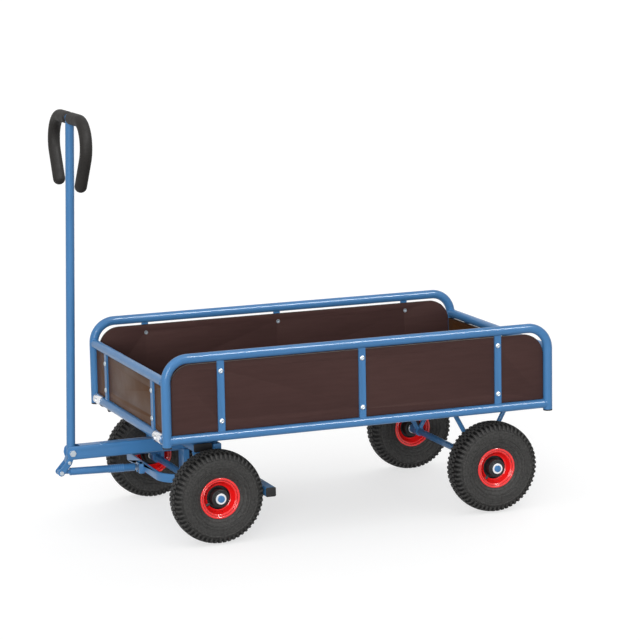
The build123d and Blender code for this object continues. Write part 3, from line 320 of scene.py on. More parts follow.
# Material helpers: most of a noise lies between these two values
NOISE_LOW = 0.3
NOISE_HIGH = 0.7


def add_node(tree, kind, inputs=None, **attributes):
    """Add a shader node, set its attributes and set or link its inputs."""
    node = tree.nodes.new(kind)
    for name, value in attributes.items():
        setattr(node, name, value)
    for socket, value in (inputs or {}).items():
        if isinstance(value, bpy.types.NodeSocket):
            tree.links.new(value, node.inputs[socket])
        else:
            node.inputs[socket].default_value = value
    return node


def maths(tree, operation, *values):
    """Result of a maths node on sockets or numbers."""
    return add_node(tree, "ShaderNodeMath", dict(enumerate(values)), operation=operation).outputs[0]


def spread(tree, noise, lowest, highest):
    """Stretch the usual range of a noise to the range between two values."""
    stretched = add_node(
        tree, "ShaderNodeMapRange",
        {"Value": noise.outputs["Fac"], "From Min": NOISE_LOW, "From Max": NOISE_HIGH,
         "To Min": lowest, "To Max": highest},
    )
    return stretched.outputs["Result"]


def new_group(name, inputs, outputs):
    """Start a shader node group with named sockets."""
    group = bpy.data.node_groups.new(name, "ShaderNodeTree")
    for socket, kind in inputs:
        group.interface.new_socket(socket, in_out="INPUT", socket_type=kind)
    for socket, kind in outputs:
        group.interface.new_socket(socket, in_out="OUTPUT", socket_type=kind)
    return group, add_node(group, "NodeGroupInput").outputs, add_node(group, "NodeGroupOutput").inputs


def tone_drift():
    """Slow lightening and darkening of a colour over the surface."""
    if "tone_drift" in bpy.data.node_groups:
        return bpy.data.node_groups["tone_drift"]
    group, given, result = new_group(
        "tone_drift",
        [("Place", "NodeSocketVector"), ("Colour", "NodeSocketColor"), ("Scale", "NodeSocketFloat"),
         ("Darkest", "NodeSocketFloat"), ("Lightest", "NodeSocketFloat")],
        [("Colour", "NodeSocketColor")],
    )
    cloud = add_node(
        group, "ShaderNodeTexNoise", {"Vector": given["Place"], "Scale": given["Scale"], "Detail": 4.0},
    )
    level = spread(group, cloud, given["Darkest"], given["Lightest"])
    toned = add_node(group, "ShaderNodeHueSaturation", {"Color": given["Colour"], "Value": level})
    group.links.new(toned.outputs["Color"], result["Colour"])
    return group


def gloss_drift():
    """Roughness that changes slowly between two values."""
    if "gloss_drift" in bpy.data.node_groups:
        return bpy.data.node_groups["gloss_drift"]
    group, given, result = new_group(
        "gloss_drift",
        [("Place", "NodeSocketVector"), ("Scale", "NodeSocketFloat"),
         ("Smoothest", "NodeSocketFloat"), ("Roughest", "NodeSocketFloat")],
        [("Roughness", "NodeSocketFloat")],
    )
    cloud = add_node(
        group, "ShaderNodeTexNoise", {"Vector": given["Place"], "Scale": given["Scale"], "Detail": 5.0},
    )
    group.links.new(spread(group, cloud, given["Smoothest"], given["Roughest"]), result["Roughness"])
    return group


def surface_grain():
    """Height of a fine grain, such as the ripple of a coat or the skin of a moulding."""
    if "surface_grain" in bpy.data.node_groups:
        return bpy.data.node_groups["surface_grain"]
    group, given, result = new_group(
        "surface_grain",
        [("Place", "NodeSocketVector"), ("Scale", "NodeSocketFloat"), ("Detail", "NodeSocketFloat")],
        [("Height", "NodeSocketFloat")],
    )
    cloud = add_node(
        group, "ShaderNodeTexNoise",
        {"Vector": given["Place"], "Scale": given["Scale"], "Detail": given["Detail"]},
    )
    group.links.new(cloud.outputs["Fac"], result["Height"])
    return group


def start_material(name):
    """The node tree, the shader and the Object coordinates of a new material."""
    material = bpy.data.materials.new(name)
    material.use_nodes = True
    tree = material.node_tree
    place = add_node(tree, "ShaderNodeTexCoord").outputs["Object"]
    return tree, tree.nodes["Principled BSDF"], place


def use_group(tree, group, **inputs):
    """Place a node group in a material with its own values."""
    return add_node(tree, "ShaderNodeGroup", inputs, node_tree=group)


def wire_finish(tree, shader, place, colour, drift, gloss, grain):
    """Wire colour drift, gloss drift and surface grain into a shader.

    Drift is scale, darkest and lightest tone, gloss is scale, smoothest and roughest, and grain is scale,
    detail, strength and depth.
    """
    drift_scale, darkest, lightest = drift
    toned = use_group(
        tree, tone_drift(), Place=place, Colour=colour, Scale=drift_scale, Darkest=darkest, Lightest=lightest,
    )
    tree.links.new(toned.outputs["Colour"], shader.inputs["Base Color"])
    gloss_scale, smoothest, roughest = gloss
    shine = use_group(
        tree, gloss_drift(), Place=place, Scale=gloss_scale, Smoothest=smoothest, Roughest=roughest,
    )
    tree.links.new(shine.outputs["Roughness"], shader.inputs["Roughness"])
    grain_scale, detail, strength, depth = grain
    skin = use_group(tree, surface_grain(), Place=place, Scale=grain_scale, Detail=detail)
    bump = add_node(
        tree, "ShaderNodeBump", {"Height": skin.outputs["Height"], "Strength": strength, "Distance": depth},
    )
    tree.links.new(bump.outputs["Normal"], shader.inputs["Normal"])


def coat_material(name, colour, gloss, coat, specular):
    """Powder or gloss coat on steel: a soft ripple under a clear shine."""
    tree, shader, place = start_material(name)
    wire_finish(
        tree, shader, place, (*colour, 1), drift=(7.0, 0.95, 1.05), gloss=gloss,
        grain=(420.0, 2.0, 0.05, 0.2 * MM),
    )
    shader.inputs["Specular IOR Level"].default_value = specular
    shader.inputs["Coat Weight"].default_value = coat
    shader.inputs["Coat Roughness"].default_value = 0.06


def zinc_material(name, colour, gloss):
    """Zinc plating with a faint cloud."""
    tree, shader, place = start_material(name)
    wire_finish(
        tree, shader, place, (*colour, 1), drift=(60.0, 0.94, 1.04), gloss=gloss,
        grain=(700.0, 2.0, 0.04, 0.1 * MM),
    )
    shader.inputs["Metallic"].default_value = 1.0


def moulded_material(name, colour, drift, gloss, grain, specular):
    """Moulded plastic or rubber with a fine skin."""
    tree, shader, place = start_material(name)
    wire_finish(tree, shader, place, (*colour, 1), drift, gloss, grain)
    shader.inputs["Specular IOR Level"].default_value = specular
    return tree, shader


# Tyre rubber: pitch of the wall's faint rings in millimetres, their change of tone, the lightening of the outer
# wall ring as a painted highlight, and the black of the painted shade in the grooves
TONE_PITCH = 5.2
TONE_CHANGE = 0.07
RING_HIGHLIGHT_CHANGE = 0.35
GROOVE_SHADE_BLACK = (0.004, 0.004, 0.004, 1)


def tread_material(name, colour):
    """Tyre rubber with fine rings on the wall, a painted highlight on the outer wall ring and painted shade,
    darkening to black, on the floors of the tread's grooves.
    """
    tree, shader = moulded_material(
        name, colour, drift=(170.0, 0.62, 1.38), gloss=(40.0, 0.50, 0.66),
        grain=(1100.0, 3.0, 0.20, 0.2 * MM), specular=0.15,
    )
    toned = shader.inputs["Base Color"].links[0].from_socket
    reach = add_node(tree, "ShaderNodeAttribute", attribute_name="reach").outputs["Fac"]
    wave = maths(tree, "SINE", maths(tree, "MULTIPLY", reach, FULL_TURN / (TONE_PITCH * MM)))
    rings = maths(tree, "MULTIPLY_ADD", wave, TONE_CHANGE, 1.0)
    # Painted highlight: a band round the outermost wall ring is lightened as if it caught the light
    crest = maths(tree, "COMPARE", reach, WALL_RINGS[-1] * MM, RING_HALF * MM)
    ring_highlight = maths(tree, "MULTIPLY_ADD", crest, RING_HIGHLIGHT_CHANGE, 1.0)
    tone = maths(tree, "MULTIPLY", rings, ring_highlight)
    ringed = add_node(tree, "ShaderNodeHueSaturation", {"Color": toned, "Value": tone})
    # Painted shade: the floors of the tread's grooves are darkened towards black by a mask made with the tyre
    groove_shade = add_node(tree, "ShaderNodeAttribute", attribute_name="groove_shade")
    shaded = add_node(
        tree, "ShaderNodeMixRGB",
        {"Fac": groove_shade.outputs["Fac"], "Color1": ringed.outputs["Color"], "Color2": GROOVE_SHADE_BLACK},
    )
    tree.links.new(shaded.outputs["Color"], shader.inputs["Base Color"])


# Boards: pitch of the plies in millimetres, grain across and along the fibres, and tones of film and plies
PLY_PITCH = 2.9
PLY_BLUR = 0.4
ACROSS_FIBRES = 3.0
ALONG_FIBRES = 0.35
FIBRE_TONES = (0.94, 1.06)
PLY_LIGHT = (0.046, 0.027, 0.020, 1)
PLY_DARK = (0.026, 0.016, 0.012, 1)
FILM_TINT = (1.0, 0.86, 0.70, 1)
EDGE_FACING = 0.5


def board_material(name, colour, across):
    """Film-coated plywood. The index across names the axis through the board's thickness."""
    tree, shader, place = start_material(name)
    stretch = [ACROSS_FIBRES] * 3
    stretch[0 if across != 0 else 1] = ALONG_FIBRES
    streaks = add_node(tree, "ShaderNodeMapping", {"Vector": place, "Scale": stretch})
    fibres = add_node(
        tree, "ShaderNodeTexNoise", {"Vector": streaks.outputs["Vector"], "Scale": 42.0, "Detail": 6.0},
    )
    tone = spread(tree, fibres, *FIBRE_TONES)
    film = add_node(tree, "ShaderNodeHueSaturation", {"Color": (*colour, 1), "Value": tone})
    axes = add_node(tree, "ShaderNodeSeparateXYZ", {"Vector": place})
    wave = maths(tree, "SINE", maths(tree, "MULTIPLY", axes.outputs[across], FULL_TURN / (PLY_PITCH * MM)))
    plies = add_node(tree, "ShaderNodeMapRange", {"Value": wave, "From Min": -PLY_BLUR, "From Max": PLY_BLUR})
    layers = add_node(
        tree, "ShaderNodeMixRGB", {"Fac": plies.outputs["Result"], "Color1": PLY_LIGHT, "Color2": PLY_DARK},
    )
    normal = tree.nodes["Texture Coordinate"].outputs["Normal"]
    facing = add_node(tree, "ShaderNodeSeparateXYZ", {"Vector": normal})
    on_edge = maths(tree, "LESS_THAN", maths(tree, "ABSOLUTE", facing.outputs[across]), EDGE_FACING)
    colours = add_node(
        tree, "ShaderNodeMixRGB",
        {"Fac": on_edge, "Color1": film.outputs["Color"], "Color2": layers.outputs["Color"]},
    )
    tree.links.new(colours.outputs["Color"], shader.inputs["Base Color"])
    shine = use_group(tree, gloss_drift(), Place=place, Scale=14.0, Smoothest=0.34, Roughest=0.46)
    tree.links.new(shine.outputs["Roughness"], shader.inputs["Roughness"])
    bump = add_node(
        tree, "ShaderNodeBump", {"Height": fibres.outputs["Fac"], "Strength": 0.10, "Distance": 0.3 * MM},
    )
    tree.links.new(bump.outputs["Normal"], shader.inputs["Normal"])
    shader.inputs["Specular IOR Level"].default_value = 0.06
    shader.inputs["Specular Tint"].default_value = FILM_TINT


# Finish of each slot, and of the nodes that differ from their slot
FINISH_NAMES = {
    "frame_blue": "blue_coat",
    "rim_red": "red_coat",
    "zinc_steel": "zinc_plate",
    "black_plastic": "moulded_black",
    "grip_rubber": "grip_foam",
    "tyre_rubber": "treaded_rubber",
    "tube_rubber": "smooth_rubber",
    "brown_board": "board_lengthways",
}
NODE_FINISHES = {
    # The end panels take the board finish with the painted light
    "front_panel": "lit_board_crossways",
    "rear_panel": "lit_board_crossways",
    "deck_board": "board_level",
    "wall_clips": "bright_zinc",
    "front_axle_collars": "bright_zinc",
    "rear_axle_collars": "bright_zinc",
}


def finishes():
    """The finishes by slot, made once."""
    if "blue_coat" in bpy.data.materials:
        return {slot: bpy.data.materials[name] for slot, name in FINISH_NAMES.items()}
    colours = settings().colours
    coat_material("blue_coat", colours.frame_blue, gloss=(24.0, 0.32, 0.41), coat=0.3, specular=0.12)
    coat_material("red_coat", colours.rim_red, gloss=(24.0, 0.22, 0.31), coat=1.0, specular=0.3)
    zinc_material("zinc_plate", colours.zinc_grey, gloss=(120.0, 0.30, 0.42))
    zinc_material("bright_zinc", colours.collar_grey, gloss=(120.0, 0.20, 0.30))
    moulded_material(
        "moulded_black", colours.plastic_black, drift=(18.0, 0.88, 1.12), gloss=(60.0, 0.40, 0.52),
        grain=(1400.0, 2.0, 0.15, 0.1 * MM), specular=0.3,
    )
    moulded_material(
        "grip_foam", colours.grip_grey, drift=(240.0, 0.70, 1.30), gloss=(50.0, 0.58, 0.70),
        grain=(900.0, 3.0, 0.30, 0.3 * MM), specular=0.25,
    )
    tread_material("treaded_rubber", colours.tyre_grey)
    moulded_material(
        "smooth_rubber", colours.plastic_black, drift=(18.0, 0.88, 1.12), gloss=(40.0, 0.45, 0.55),
        grain=(1100.0, 3.0, 0.15, 0.2 * MM), specular=0.5,
    )
    board_material("board_lengthways", colours.board_brown, across=1)
    # The end boards get the lighter, warmer brown: painted light on the same plywood film
    board_material("lit_board_crossways", colours.lit_end_board_brown, across=0)
    board_material("board_level", colours.board_brown, across=2)
    return finishes()


class CART_OT_finish_frame(bpy.types.Operator):
    """Give every construction node the finish of its slot"""

    bl_idname = "cart.finish_frame"
    bl_label = "Finish the frame"

    def execute(self, context):
        by_slot = finishes()
        for name, node in frame["nodes"].items():
            finish = by_slot[NODE_SLOTS[name]]
            if name in NODE_FINISHES:
                finish = bpy.data.materials[NODE_FINISHES[name]]
            node.data.materials.clear()
            node.data.materials.append(finish)
        return {"FINISHED"}


# Rounding in millimetres, by body and node, of the pieces that keep their built shape with softer edges
EDGE_ROUNDS = {
    "bed": {
        "wall_bars": 0.8, "wall_clips": 0.7, "tube_plugs": 1.0, "side_panel_left": 0.7,
        "side_panel_right": 0.7, "front_panel": 0.7, "rear_panel": 0.7, "deck_board": 0.7, "rear_axle": 1.2,
        "king_bolt": 0.8, "turntable_upper_ring": 0.6,
    },
    "front_bogie": {
        "turntable_lower_ring": 0.6, "bogie_crossbeam": 0.6, "crossbeam_caps": 0.9, "bogie_legs": 0.9,
        "front_axle": 1.0, "tow_beam": 0.8, "pivot_bolt": 0.8,
    },
    "drawbar": {"lever_plates": 0.8, "lever_bolts": 0.7},
    "brake_rod": {"rod_stud": 0.6, "brake_rod": 0.5},
    "brake_bow": {"brake_bow": 1.6, "brake_bar_caps": 0.9},
}
FLAT_ANGLE = 0.5


class CART_OT_soften_edges(bpy.types.Operator):
    """Round the edges of the plates, bars, boards and bolts"""

    bl_idname = "cart.soften_edges"
    bl_label = "Softened edges"

    def execute(self, context):
        rounds = [(body, *row) for body, nodes in EDGE_ROUNDS.items() for row in nodes.items()]
        for body, node, width in rounds:
            source = frame["nodes"][node]
            material = source.data.materials[0]
            piece = copy_piece(source, f"{node}_softened", Matrix())
            edit_all(piece)
            bpy.ops.mesh.remove_doubles(threshold=NODE_MERGE)
            bpy.ops.mesh.dissolve_limited(angle_limit=math.radians(FLAT_ANGLE))
            leave_edit()
            round_edges(piece, width * MM)
            smooth(piece, angle=30)
            finish_piece(piece, body, NODE_SLOTS[node], material, node)
        return {"FINISHED"}


# Wheels, each turned by some degrees so that their treads don't stand alike
WHEEL_PHASES = (0.0, 2.5, 4.1, 1.2)


def wheel_place(wheel):
    """The matrix that sets a piece modelled round the origin on a wheel, its outer side outwards."""
    middle = box_middle(f"tyre_{wheel}")
    outwards = 0 if middle.y > 0 else math.pi
    return Matrix.Translation(middle) @ Matrix.Rotation(outwards, 4, "Z")


def set_on_wheels(master, slot, stem):
    """Copy a piece to all four wheels, where it stands for the nodes of that stem."""
    material = finishes()[slot]
    for wheel, turn in zip(WHEELS, WHEEL_PHASES):
        phase = Matrix.Rotation(math.radians(turn), 4, "Y")
        piece = copy_piece(master, f"{master.name}_{wheel}", wheel_place(wheel) @ phase)
        finish_piece(piece, f"wheel_{wheel}", slot, material, f"{stem}_{wheel}")
    bpy.data.objects.remove(master)


# Outline of a tyre in millimetres: across is from the wheel's middle, depths are below the crown
TREAD_HALF = 35.0
SHOULDER_DROP = 6.0
LUG_FOOT_DEPTH = 21.0
LUG_WAIST_DEPTH = 14.5
TREAD_DEPTH = 12.0
CENTRE_ROW = 5.5
MIDDLE_ROW = (8.0, 18.5)
SHOULDER_ROW = 21.5
WALL_STOPS = (62.0, 73.5, 83.5, 93.0, 98.0, 103.0)
WALL_RINGS = (68.0, 79.0, 88.5, 107.6)
RING_HALF = 1.4
RING_RISE = 1.4
WALL_SETBACK = 0.9
BEAD_INSET = 2.55
SEAT_DEPTH = 7.45
BEAD_THROAT = 15.7
BEAD_LAP = 1.0
WALL_START = 1.5
FOOT_LEAD = 1.0
SHOULDER_INSET = 1.8
SHOULDER_EDGE = 1.4
SHOULDER_ROUND = 0.4
ROW_INSET = 2.4
TUBE_PLAY = 0.3
HOLLOW_STEPS = 22
# Millimetres over which the painted shade of the grooves fades in above the lugs' feet
GROOVE_SHADE_FADE = 8.0
# Shares of a lug's height by which the grooves of the shoulder lie under the wall
FOOT_SHARE = 0.6
WAIST_SHARE = 0.8
# Steps round the tyre from lug to lug: lug steps at the shoulder, and the groove step of the other rows
LUG_STEPS = 4
SHOULDER_LUG = 2
MIDDLE_GROOVE = 1
CENTRE_GROOVE = 3


def tyre_outline(sizes):
    """Outer outline of a tyre at its groove floor, with its wall rings, and the hollow for the inner tube."""
    tyre = box_size("tyre_front_left")
    rim = box_size("rim_front_left")
    tube = box_size("inner_tube_front_left")
    tyre_r, half_w = tyre.z / 2, tyre.y / 2
    flange_r = rim.z / 2
    tube_ring_r = (tube.z - tube.y) / 2
    lug = sizes.lug_height / MM
    shoulder_r = tyre_r - SHOULDER_DROP
    bulge_r = (tyre_r + flange_r) / 2
    bead = rim.y / 2 - BEAD_INSET
    seat_r = flange_r - SEAT_DEPTH

    def wall_arc(end_r, end_across):
        rise = half_w - end_across
        return ((end_r - bulge_r) ** 2 + rise ** 2) / (2 * rise)

    lower = wall_arc(flange_r, bead)
    upper = wall_arc(shoulder_r, TREAD_HALF)
    crown = (TREAD_HALF ** 2 + SHOULDER_DROP ** 2) / (2 * SHOULDER_DROP)

    def wall(radius):
        size = lower if radius < bulge_r else upper
        return half_w - size + math.sqrt(size ** 2 - (radius - bulge_r) ** 2) - WALL_SETBACK

    def tread(across):
        return tyre_r - crown + math.sqrt(crown ** 2 - across ** 2) - lug

    outer = [(seat_r, bead), (flange_r - BEAD_LAP, bead)]
    marks = [(stop, 0) for stop in (flange_r + WALL_START, *WALL_STOPS)]
    for ring in WALL_RINGS:
        marks += [(ring - RING_HALF, 0), (ring - RING_HALF / 3, RING_RISE)]
        marks += [(ring + RING_HALF / 3, RING_RISE), (ring + RING_HALF, 0)]
    outer += [(r, wall(r) + rise) for r, rise in sorted(marks)]
    foot_r = tyre_r - LUG_FOOT_DEPTH
    waist_r = tyre_r - LUG_WAIST_DEPTH
    lead_r = foot_r - FOOT_LEAD
    outer += [(lead_r, wall(lead_r)), (foot_r, wall(foot_r) - FOOT_SHARE * lug)]
    outer += [(waist_r, wall(waist_r) - WAIST_SHARE * lug)]
    outer += [(tread(TREAD_HALF - SHOULDER_INSET) - SHOULDER_ROUND, TREAD_HALF - SHOULDER_EDGE)]
    rows = (TREAD_HALF - ROW_INSET, SHOULDER_ROW, *reversed(MIDDLE_ROW), CENTRE_ROW)
    outer += [(tread(across), across) for across in rows]
    hollow = tube.y / 2 + TUBE_PLAY
    throat_turn = math.degrees(math.asin(BEAD_THROAT / hollow))
    inside = arc((tube_ring_r, 0), hollow, 180 + throat_turn, 540 - throat_turn, HOLLOW_STEPS)
    inside = [(seat_r, -BEAD_THROAT), *inside, (seat_r, BEAD_THROAT)]
    return in_metres(outer + mirrored(outer) + inside)


class CART_OT_make_tyres(bpy.types.Operator):
    """Model the treaded tyres"""

    bl_idname = "cart.make_tyres"
    bl_label = "Tyres"

    def execute(self, context):
        sizes = settings().sizes
        steps = LUG_STEPS * sizes.tread_lugs
        tyre = turned_piece("tyre_tread", [tyre_outline(sizes)], steps)
        tyre_r = box_size("tyre_front_left").z / 2 * MM
        foot_r = tyre_r - LUG_FOOT_DEPTH * MM
        tread_r = tyre_r - TREAD_DEPTH * MM

        def step_of(centre):
            turn = math.atan2(centre.z, centre.x) % FULL_TURN
            return int(turn / FULL_TURN * steps) % LUG_STEPS

        def in_tread(centre):
            across = abs(centre.y) / MM
            radius = math.hypot(centre.x, centre.z)
            return radius > (foot_r if across > SHOULDER_ROW else tread_r)

        def on_lug(centre):
            if not in_tread(centre):
                return False
            across = abs(centre.y) / MM
            step = step_of(centre)
            side_step = step if centre.y > 0 else LUG_STEPS - 1 - step
            if across > SHOULDER_ROW:
                return side_step < SHOULDER_LUG
            if MIDDLE_ROW[0] < across < MIDDLE_ROW[1]:
                return side_step != MIDDLE_GROOVE
            return across < CENTRE_ROW and step != CENTRE_GROOVE

        edit_faces(tyre, on_lug)
        bpy.ops.mesh.inset(thickness=sizes.lug_draft, depth=sizes.lug_height, use_even_offset=True)
        leave_edit()
        lug_tops = {corner for face in tyre.data.polygons if face.select for corner in face.vertices}
        radii = [math.hypot(vertex.co.x, vertex.co.z) for vertex in tyre.data.vertices]
        reach = tyre.data.attributes.new("reach", "FLOAT", "POINT")
        reach.data.foreach_set("value", radii)
        # Painted shade: a mask that is one on the groove floors of the tread, fades out towards the lugs' feet and
        # is nought on lug tops
        groove_shade = tyre.data.attributes.new("groove_shade", "FLOAT", "POINT")
        for number, radius in enumerate(radii):
            depth = (radius - foot_r) / (GROOVE_SHADE_FADE * MM)
            groove_shade.data[number].value = 0.0 if number in lug_tops else min(max(depth, 0.0), 1.0)
        edit_all(tyre)
        close_up()
        leave_edit()
        smooth(tyre, angle=32)
        set_on_wheels(tyre, "tyre_rubber", "tyre")
        return {"FINISHED"}


# Rim: steps round it, and the outline of one half in millimetres, as radius and distance from its middle
RIM_STEPS = 96
RIM_HALF = (
    (51.0, 0.05), (51.0, 31.0), (52.0, 31.5), (58.0, 31.5), (58.5, 32.3), (58.3, 33.3), (57.5, 34.0),
    (54.2, 34.0), (52.9, 33.6), (52.1, 32.5), (51.7, 30.6), (51.2, 29.6), (50.3, 29.3), (49.4, 29.9),
    (48.2, 30.1), (46.9, 29.6), (45.9, 28.3), (44.6, 25.9), (38.0, 18.7), (36.8, 17.7), (35.5, 17.3),
    (34.4, 16.8), (34.0, 16.0), (34.2, 15.2), (34.8, 15.05), (37.6, 15.05), (38.3, 15.6), (46.8, 25.2),
    (48.5, 26.6), (48.5, 0.05),
)


class CART_OT_make_rims(bpy.types.Operator):
    """Model the pressed steel rims"""

    bl_idname = "cart.make_rims"
    bl_label = "Rims"

    def execute(self, context):
        halves = [in_metres(RIM_HALF), in_metres(mirrored(RIM_HALF))]
        rim = turned_piece("rim_pressing", halves, RIM_STEPS)
        smooth(rim, angle=50)
        set_on_wheels(rim, "rim_red", "rim")
        return {"FINISHED"}


# Hub: steps round it, its edge rounding and the outline of one half in millimetres, from bore to flange
HUB_STEPS = 72
HUB_ROUND = 0.4
HUB_HALF = (
    (13.5, 36.0), (15.5, 36.0), (15.9, 35.7), (18.7, 35.7), (19.1, 36.0), (23.8, 36.0), (25.0, 35.6),
    (25.6, 34.6), (25.6, 8.0), (26.6, 6.5), (32.0, 6.5), (33.2, 8.0), (33.4, 14.9), (39.5, 14.9),
)


class CART_OT_make_hubs(bpy.types.Operator):
    """Model the moulded hubs"""

    bl_idname = "cart.make_hubs"
    bl_label = "Hubs"

    def execute(self, context):
        outline = in_metres([*HUB_HALF, *mirrored(HUB_HALF)])
        hub = turned_piece("hub_moulding", [outline], HUB_STEPS)
        round_edges(hub, HUB_ROUND * MM)
        smooth(hub)
        set_on_wheels(hub, "black_plastic", "hub")
        return {"FINISHED"}


# Valve in millimetres from the wheel's middle, and the outline of its cap from the tip inwards
VALVE_TURNS = {"front": 27.0, "rear": 46.0}
VALVE_TIP_R = 32.0
VALVE_OFFSET = 21.0
CAP_R = 3.75
CAP_RIB_START = 1.1
CAP_RIB_END = 8.0
CAP_RIBS = 12
RIB_RISE = 0.3
RIB_DRAFT = 0.2
RIB_FOOT_R = 3.6375
CAP_OUTLINE = (
    (0.0, -0.6), (1.9, -0.6), (2.7, -0.1), (3.0, 0.6), (CAP_R, CAP_RIB_START), (CAP_R, CAP_RIB_END),
    (4.1, 8.4), (4.1, 9.6), (3.7, 10.0), (3.6, 10.0), (3.6, 0.4), (0.0, 0.4),
)


class CART_OT_make_valve_caps(bpy.types.Operator):
    """Model the ribbed caps of the tyre valves"""

    bl_idname = "cart.make_valve_caps"
    bl_label = "Valve caps"

    def execute(self, context):
        cap = turned_piece("valve_cap", [in_metres(CAP_OUTLINE)], 2 * CAP_RIBS)

        def on_rib(centre):
            turn = math.atan2(centre.z, centre.x) % FULL_TURN
            around = int(turn / FULL_TURN * 2 * CAP_RIBS) % 2
            outside = math.hypot(centre.x, centre.z) > RIB_FOOT_R * MM
            return around == 0 and outside and CAP_RIB_START * MM < centre.y < CAP_RIB_END * MM

        edit_faces(cap, on_rib)
        bpy.ops.mesh.inset(thickness=RIB_DRAFT * MM, depth=RIB_RISE * MM, use_individual=True)
        close_up()
        leave_edit()
        smooth(cap, angle=30)
        for wheel in WHEELS:
            middle = box_middle(f"tyre_{wheel}")
            side = 1 if middle.y > 0 else -1
            turn = math.radians(VALVE_TURNS[wheel.split("_")[0]])
            to_valve = Vector((math.cos(turn), 0, -math.sin(turn)))
            tip = middle + Vector((0, side * VALVE_OFFSET * MM, 0)) + to_valve * VALVE_TIP_R * MM
            place = Matrix.Translation(tip) @ to_valve.to_track_quat("Y", "Z").to_matrix().to_4x4()
            piece = copy_piece(cap, f"valve_cap_{wheel}", place)
            finish_piece(piece, f"wheel_{wheel}", "tube_rubber", finishes()["tube_rubber"])
        bpy.data.objects.remove(cap)
        return {"FINISHED"}


# Handle in the plane of the drawbar, in millimetres from its pivot
HANDLE_LEAN = 1.8
HANDLE_REACH = 955.0
HANDLE_TOP_HALF = 214.0
HANDLE_TIP_HALF = 109.5
HANDLE_ARM = 181.0
HANDLE_BEND = 71.0
# Foam of a grip in millimetres: its rounded edge, its fine rings, and its steps round the bend and the tip
GRIP_R = 17.5
GRIP_START = 13.0
GRIP_SIDES = 40
GRIP_EDGE = 1.5
GRIP_EDGE_SHARE = 0.7
GRIP_RING_PITCH = 6.0
GRIP_RING_HALF = 1.0
BEND_STEPS = 24
ARM_STEPS = 10
TIP_STEPS = 7
TIP_STEP_TURN = 12.0


class CART_OT_make_grips(bpy.types.Operator):
    """Model the two foam grips of the handle"""

    bl_idname = "cart.make_grips"
    bl_label = "Grips"

    def execute(self, context):
        ring_depth = settings().sizes.grip_ring_depth
        arm = Vector((0, HANDLE_TIP_HALF - HANDLE_TOP_HALF, -HANDLE_ARM)) * MM
        turn = math.pi - math.atan2(HANDLE_ARM, HANDLE_TOP_HALF - HANDLE_TIP_HALF)
        tangent = HANDLE_BEND * math.tan(turn / 2)
        run_out = (HANDLE_TOP_HALF - tangent - GRIP_START) * MM
        arm_run = arm.length - tangent * MM
        start = Vector((0, GRIP_START, HANDLE_REACH)) * MM
        grip = start_piece(
            "grip_left_foam", bpy.ops.mesh.primitive_circle_add, vertices=GRIP_SIDES,
            radius=(GRIP_R - GRIP_EDGE) * MM, fill_type="NGON", location=start, rotation=(math.pi / 2, 0, 0),
        )
        bpy.ops.object.transform_apply(location=True, rotation=True, scale=True)
        edit_all(grip)

        def push(distance, direction, scale, centre):
            bpy.ops.mesh.extrude_region_move(TRANSFORM_OT_translate={"value": direction * distance})
            centre = centre + direction * distance
            bpy.ops.transform.resize(value=(scale, scale, scale), center_override=centre)
            return centre

        across = Vector((0, 1, 0))
        full = GRIP_R / (GRIP_R - GRIP_EDGE)
        partly = 1 + GRIP_EDGE_SHARE * (full - 1)
        centre = push(GRIP_EDGE * MM, across, partly, start)
        centre = push(GRIP_EDGE * MM, across, full / partly, centre)
        ring_scale = 1 - ring_depth / (GRIP_R * MM)
        straight = run_out - 2 * GRIP_EDGE * MM
        rings = int(straight / (GRIP_RING_PITCH * MM))
        plain = straight / rings - 2 * GRIP_RING_HALF * MM
        for ring in range(rings):
            centre = push(plain, across, 1, centre)
            centre = push(GRIP_RING_HALF * MM, across, ring_scale, centre)
            centre = push(GRIP_RING_HALF * MM, across, 1 / ring_scale, centre)
        bend_centre = centre - Vector((0, 0, HANDLE_BEND * MM))
        bpy.ops.mesh.spin(steps=BEND_STEPS, angle=turn, center=bend_centre, axis=(1, 0, 0))
        direction = arm.normalized()
        tip = (Vector((0, HANDLE_TOP_HALF, HANDLE_REACH)) * MM) + direction * tangent * MM
        for step in range(ARM_STEPS):
            tip = push(arm_run / ARM_STEPS, direction, 1, tip)
        for step in range(TIP_STEPS):
            before = math.radians(TIP_STEP_TURN * step)
            after = math.radians(TIP_STEP_TURN * (step + 1))
            reach = math.sin(after) - math.sin(before)
            tip = push(reach * GRIP_R * MM, direction, math.cos(after) / math.cos(before), tip)
        close_up()
        leave_edit()
        smooth(grip, angle=60)
        material = finishes()["grip_rubber"]
        pivot = Vector(JOINTS["drawbar_tilt"]["pos_m"])
        lean_back = Matrix.Translation(pivot) @ Matrix.Rotation(math.radians(-HANDLE_LEAN), 4, "Y")
        right = copy_piece(grip, "grip_right_foam", lean_back @ Matrix.Rotation(math.pi, 4, "Z"))
        grip.data.transform(lean_back)
        finish_piece(grip, "drawbar", "grip_rubber", material, "grip_left")
        finish_piece(right, "drawbar", "grip_rubber", material, "grip_right")
        return {"FINISHED"}


# Panel bolt: steps round it, and millimetres along its axis from the outer face of the bar
BOLT_STEPS = 24
BOLT_HEAD = 4.0
BOLT_OUTLINE = (
    (0.0, 1.9), (2.5, 1.9), (2.7, 3.5), (3.3, 3.95), (4.6, 3.6), (6.1, 2.7), (7.2, 1.6), (7.75, 0.6),
    (7.6, 0.0), (4.0, 0.0), (4.0, -9.0), (6.0, -9.0), (6.0, -15.7), (5.7, -16.0), (3.1, -16.0), (2.8, -15.7),
    (2.8, -13.5), (0.0, -13.5),
)


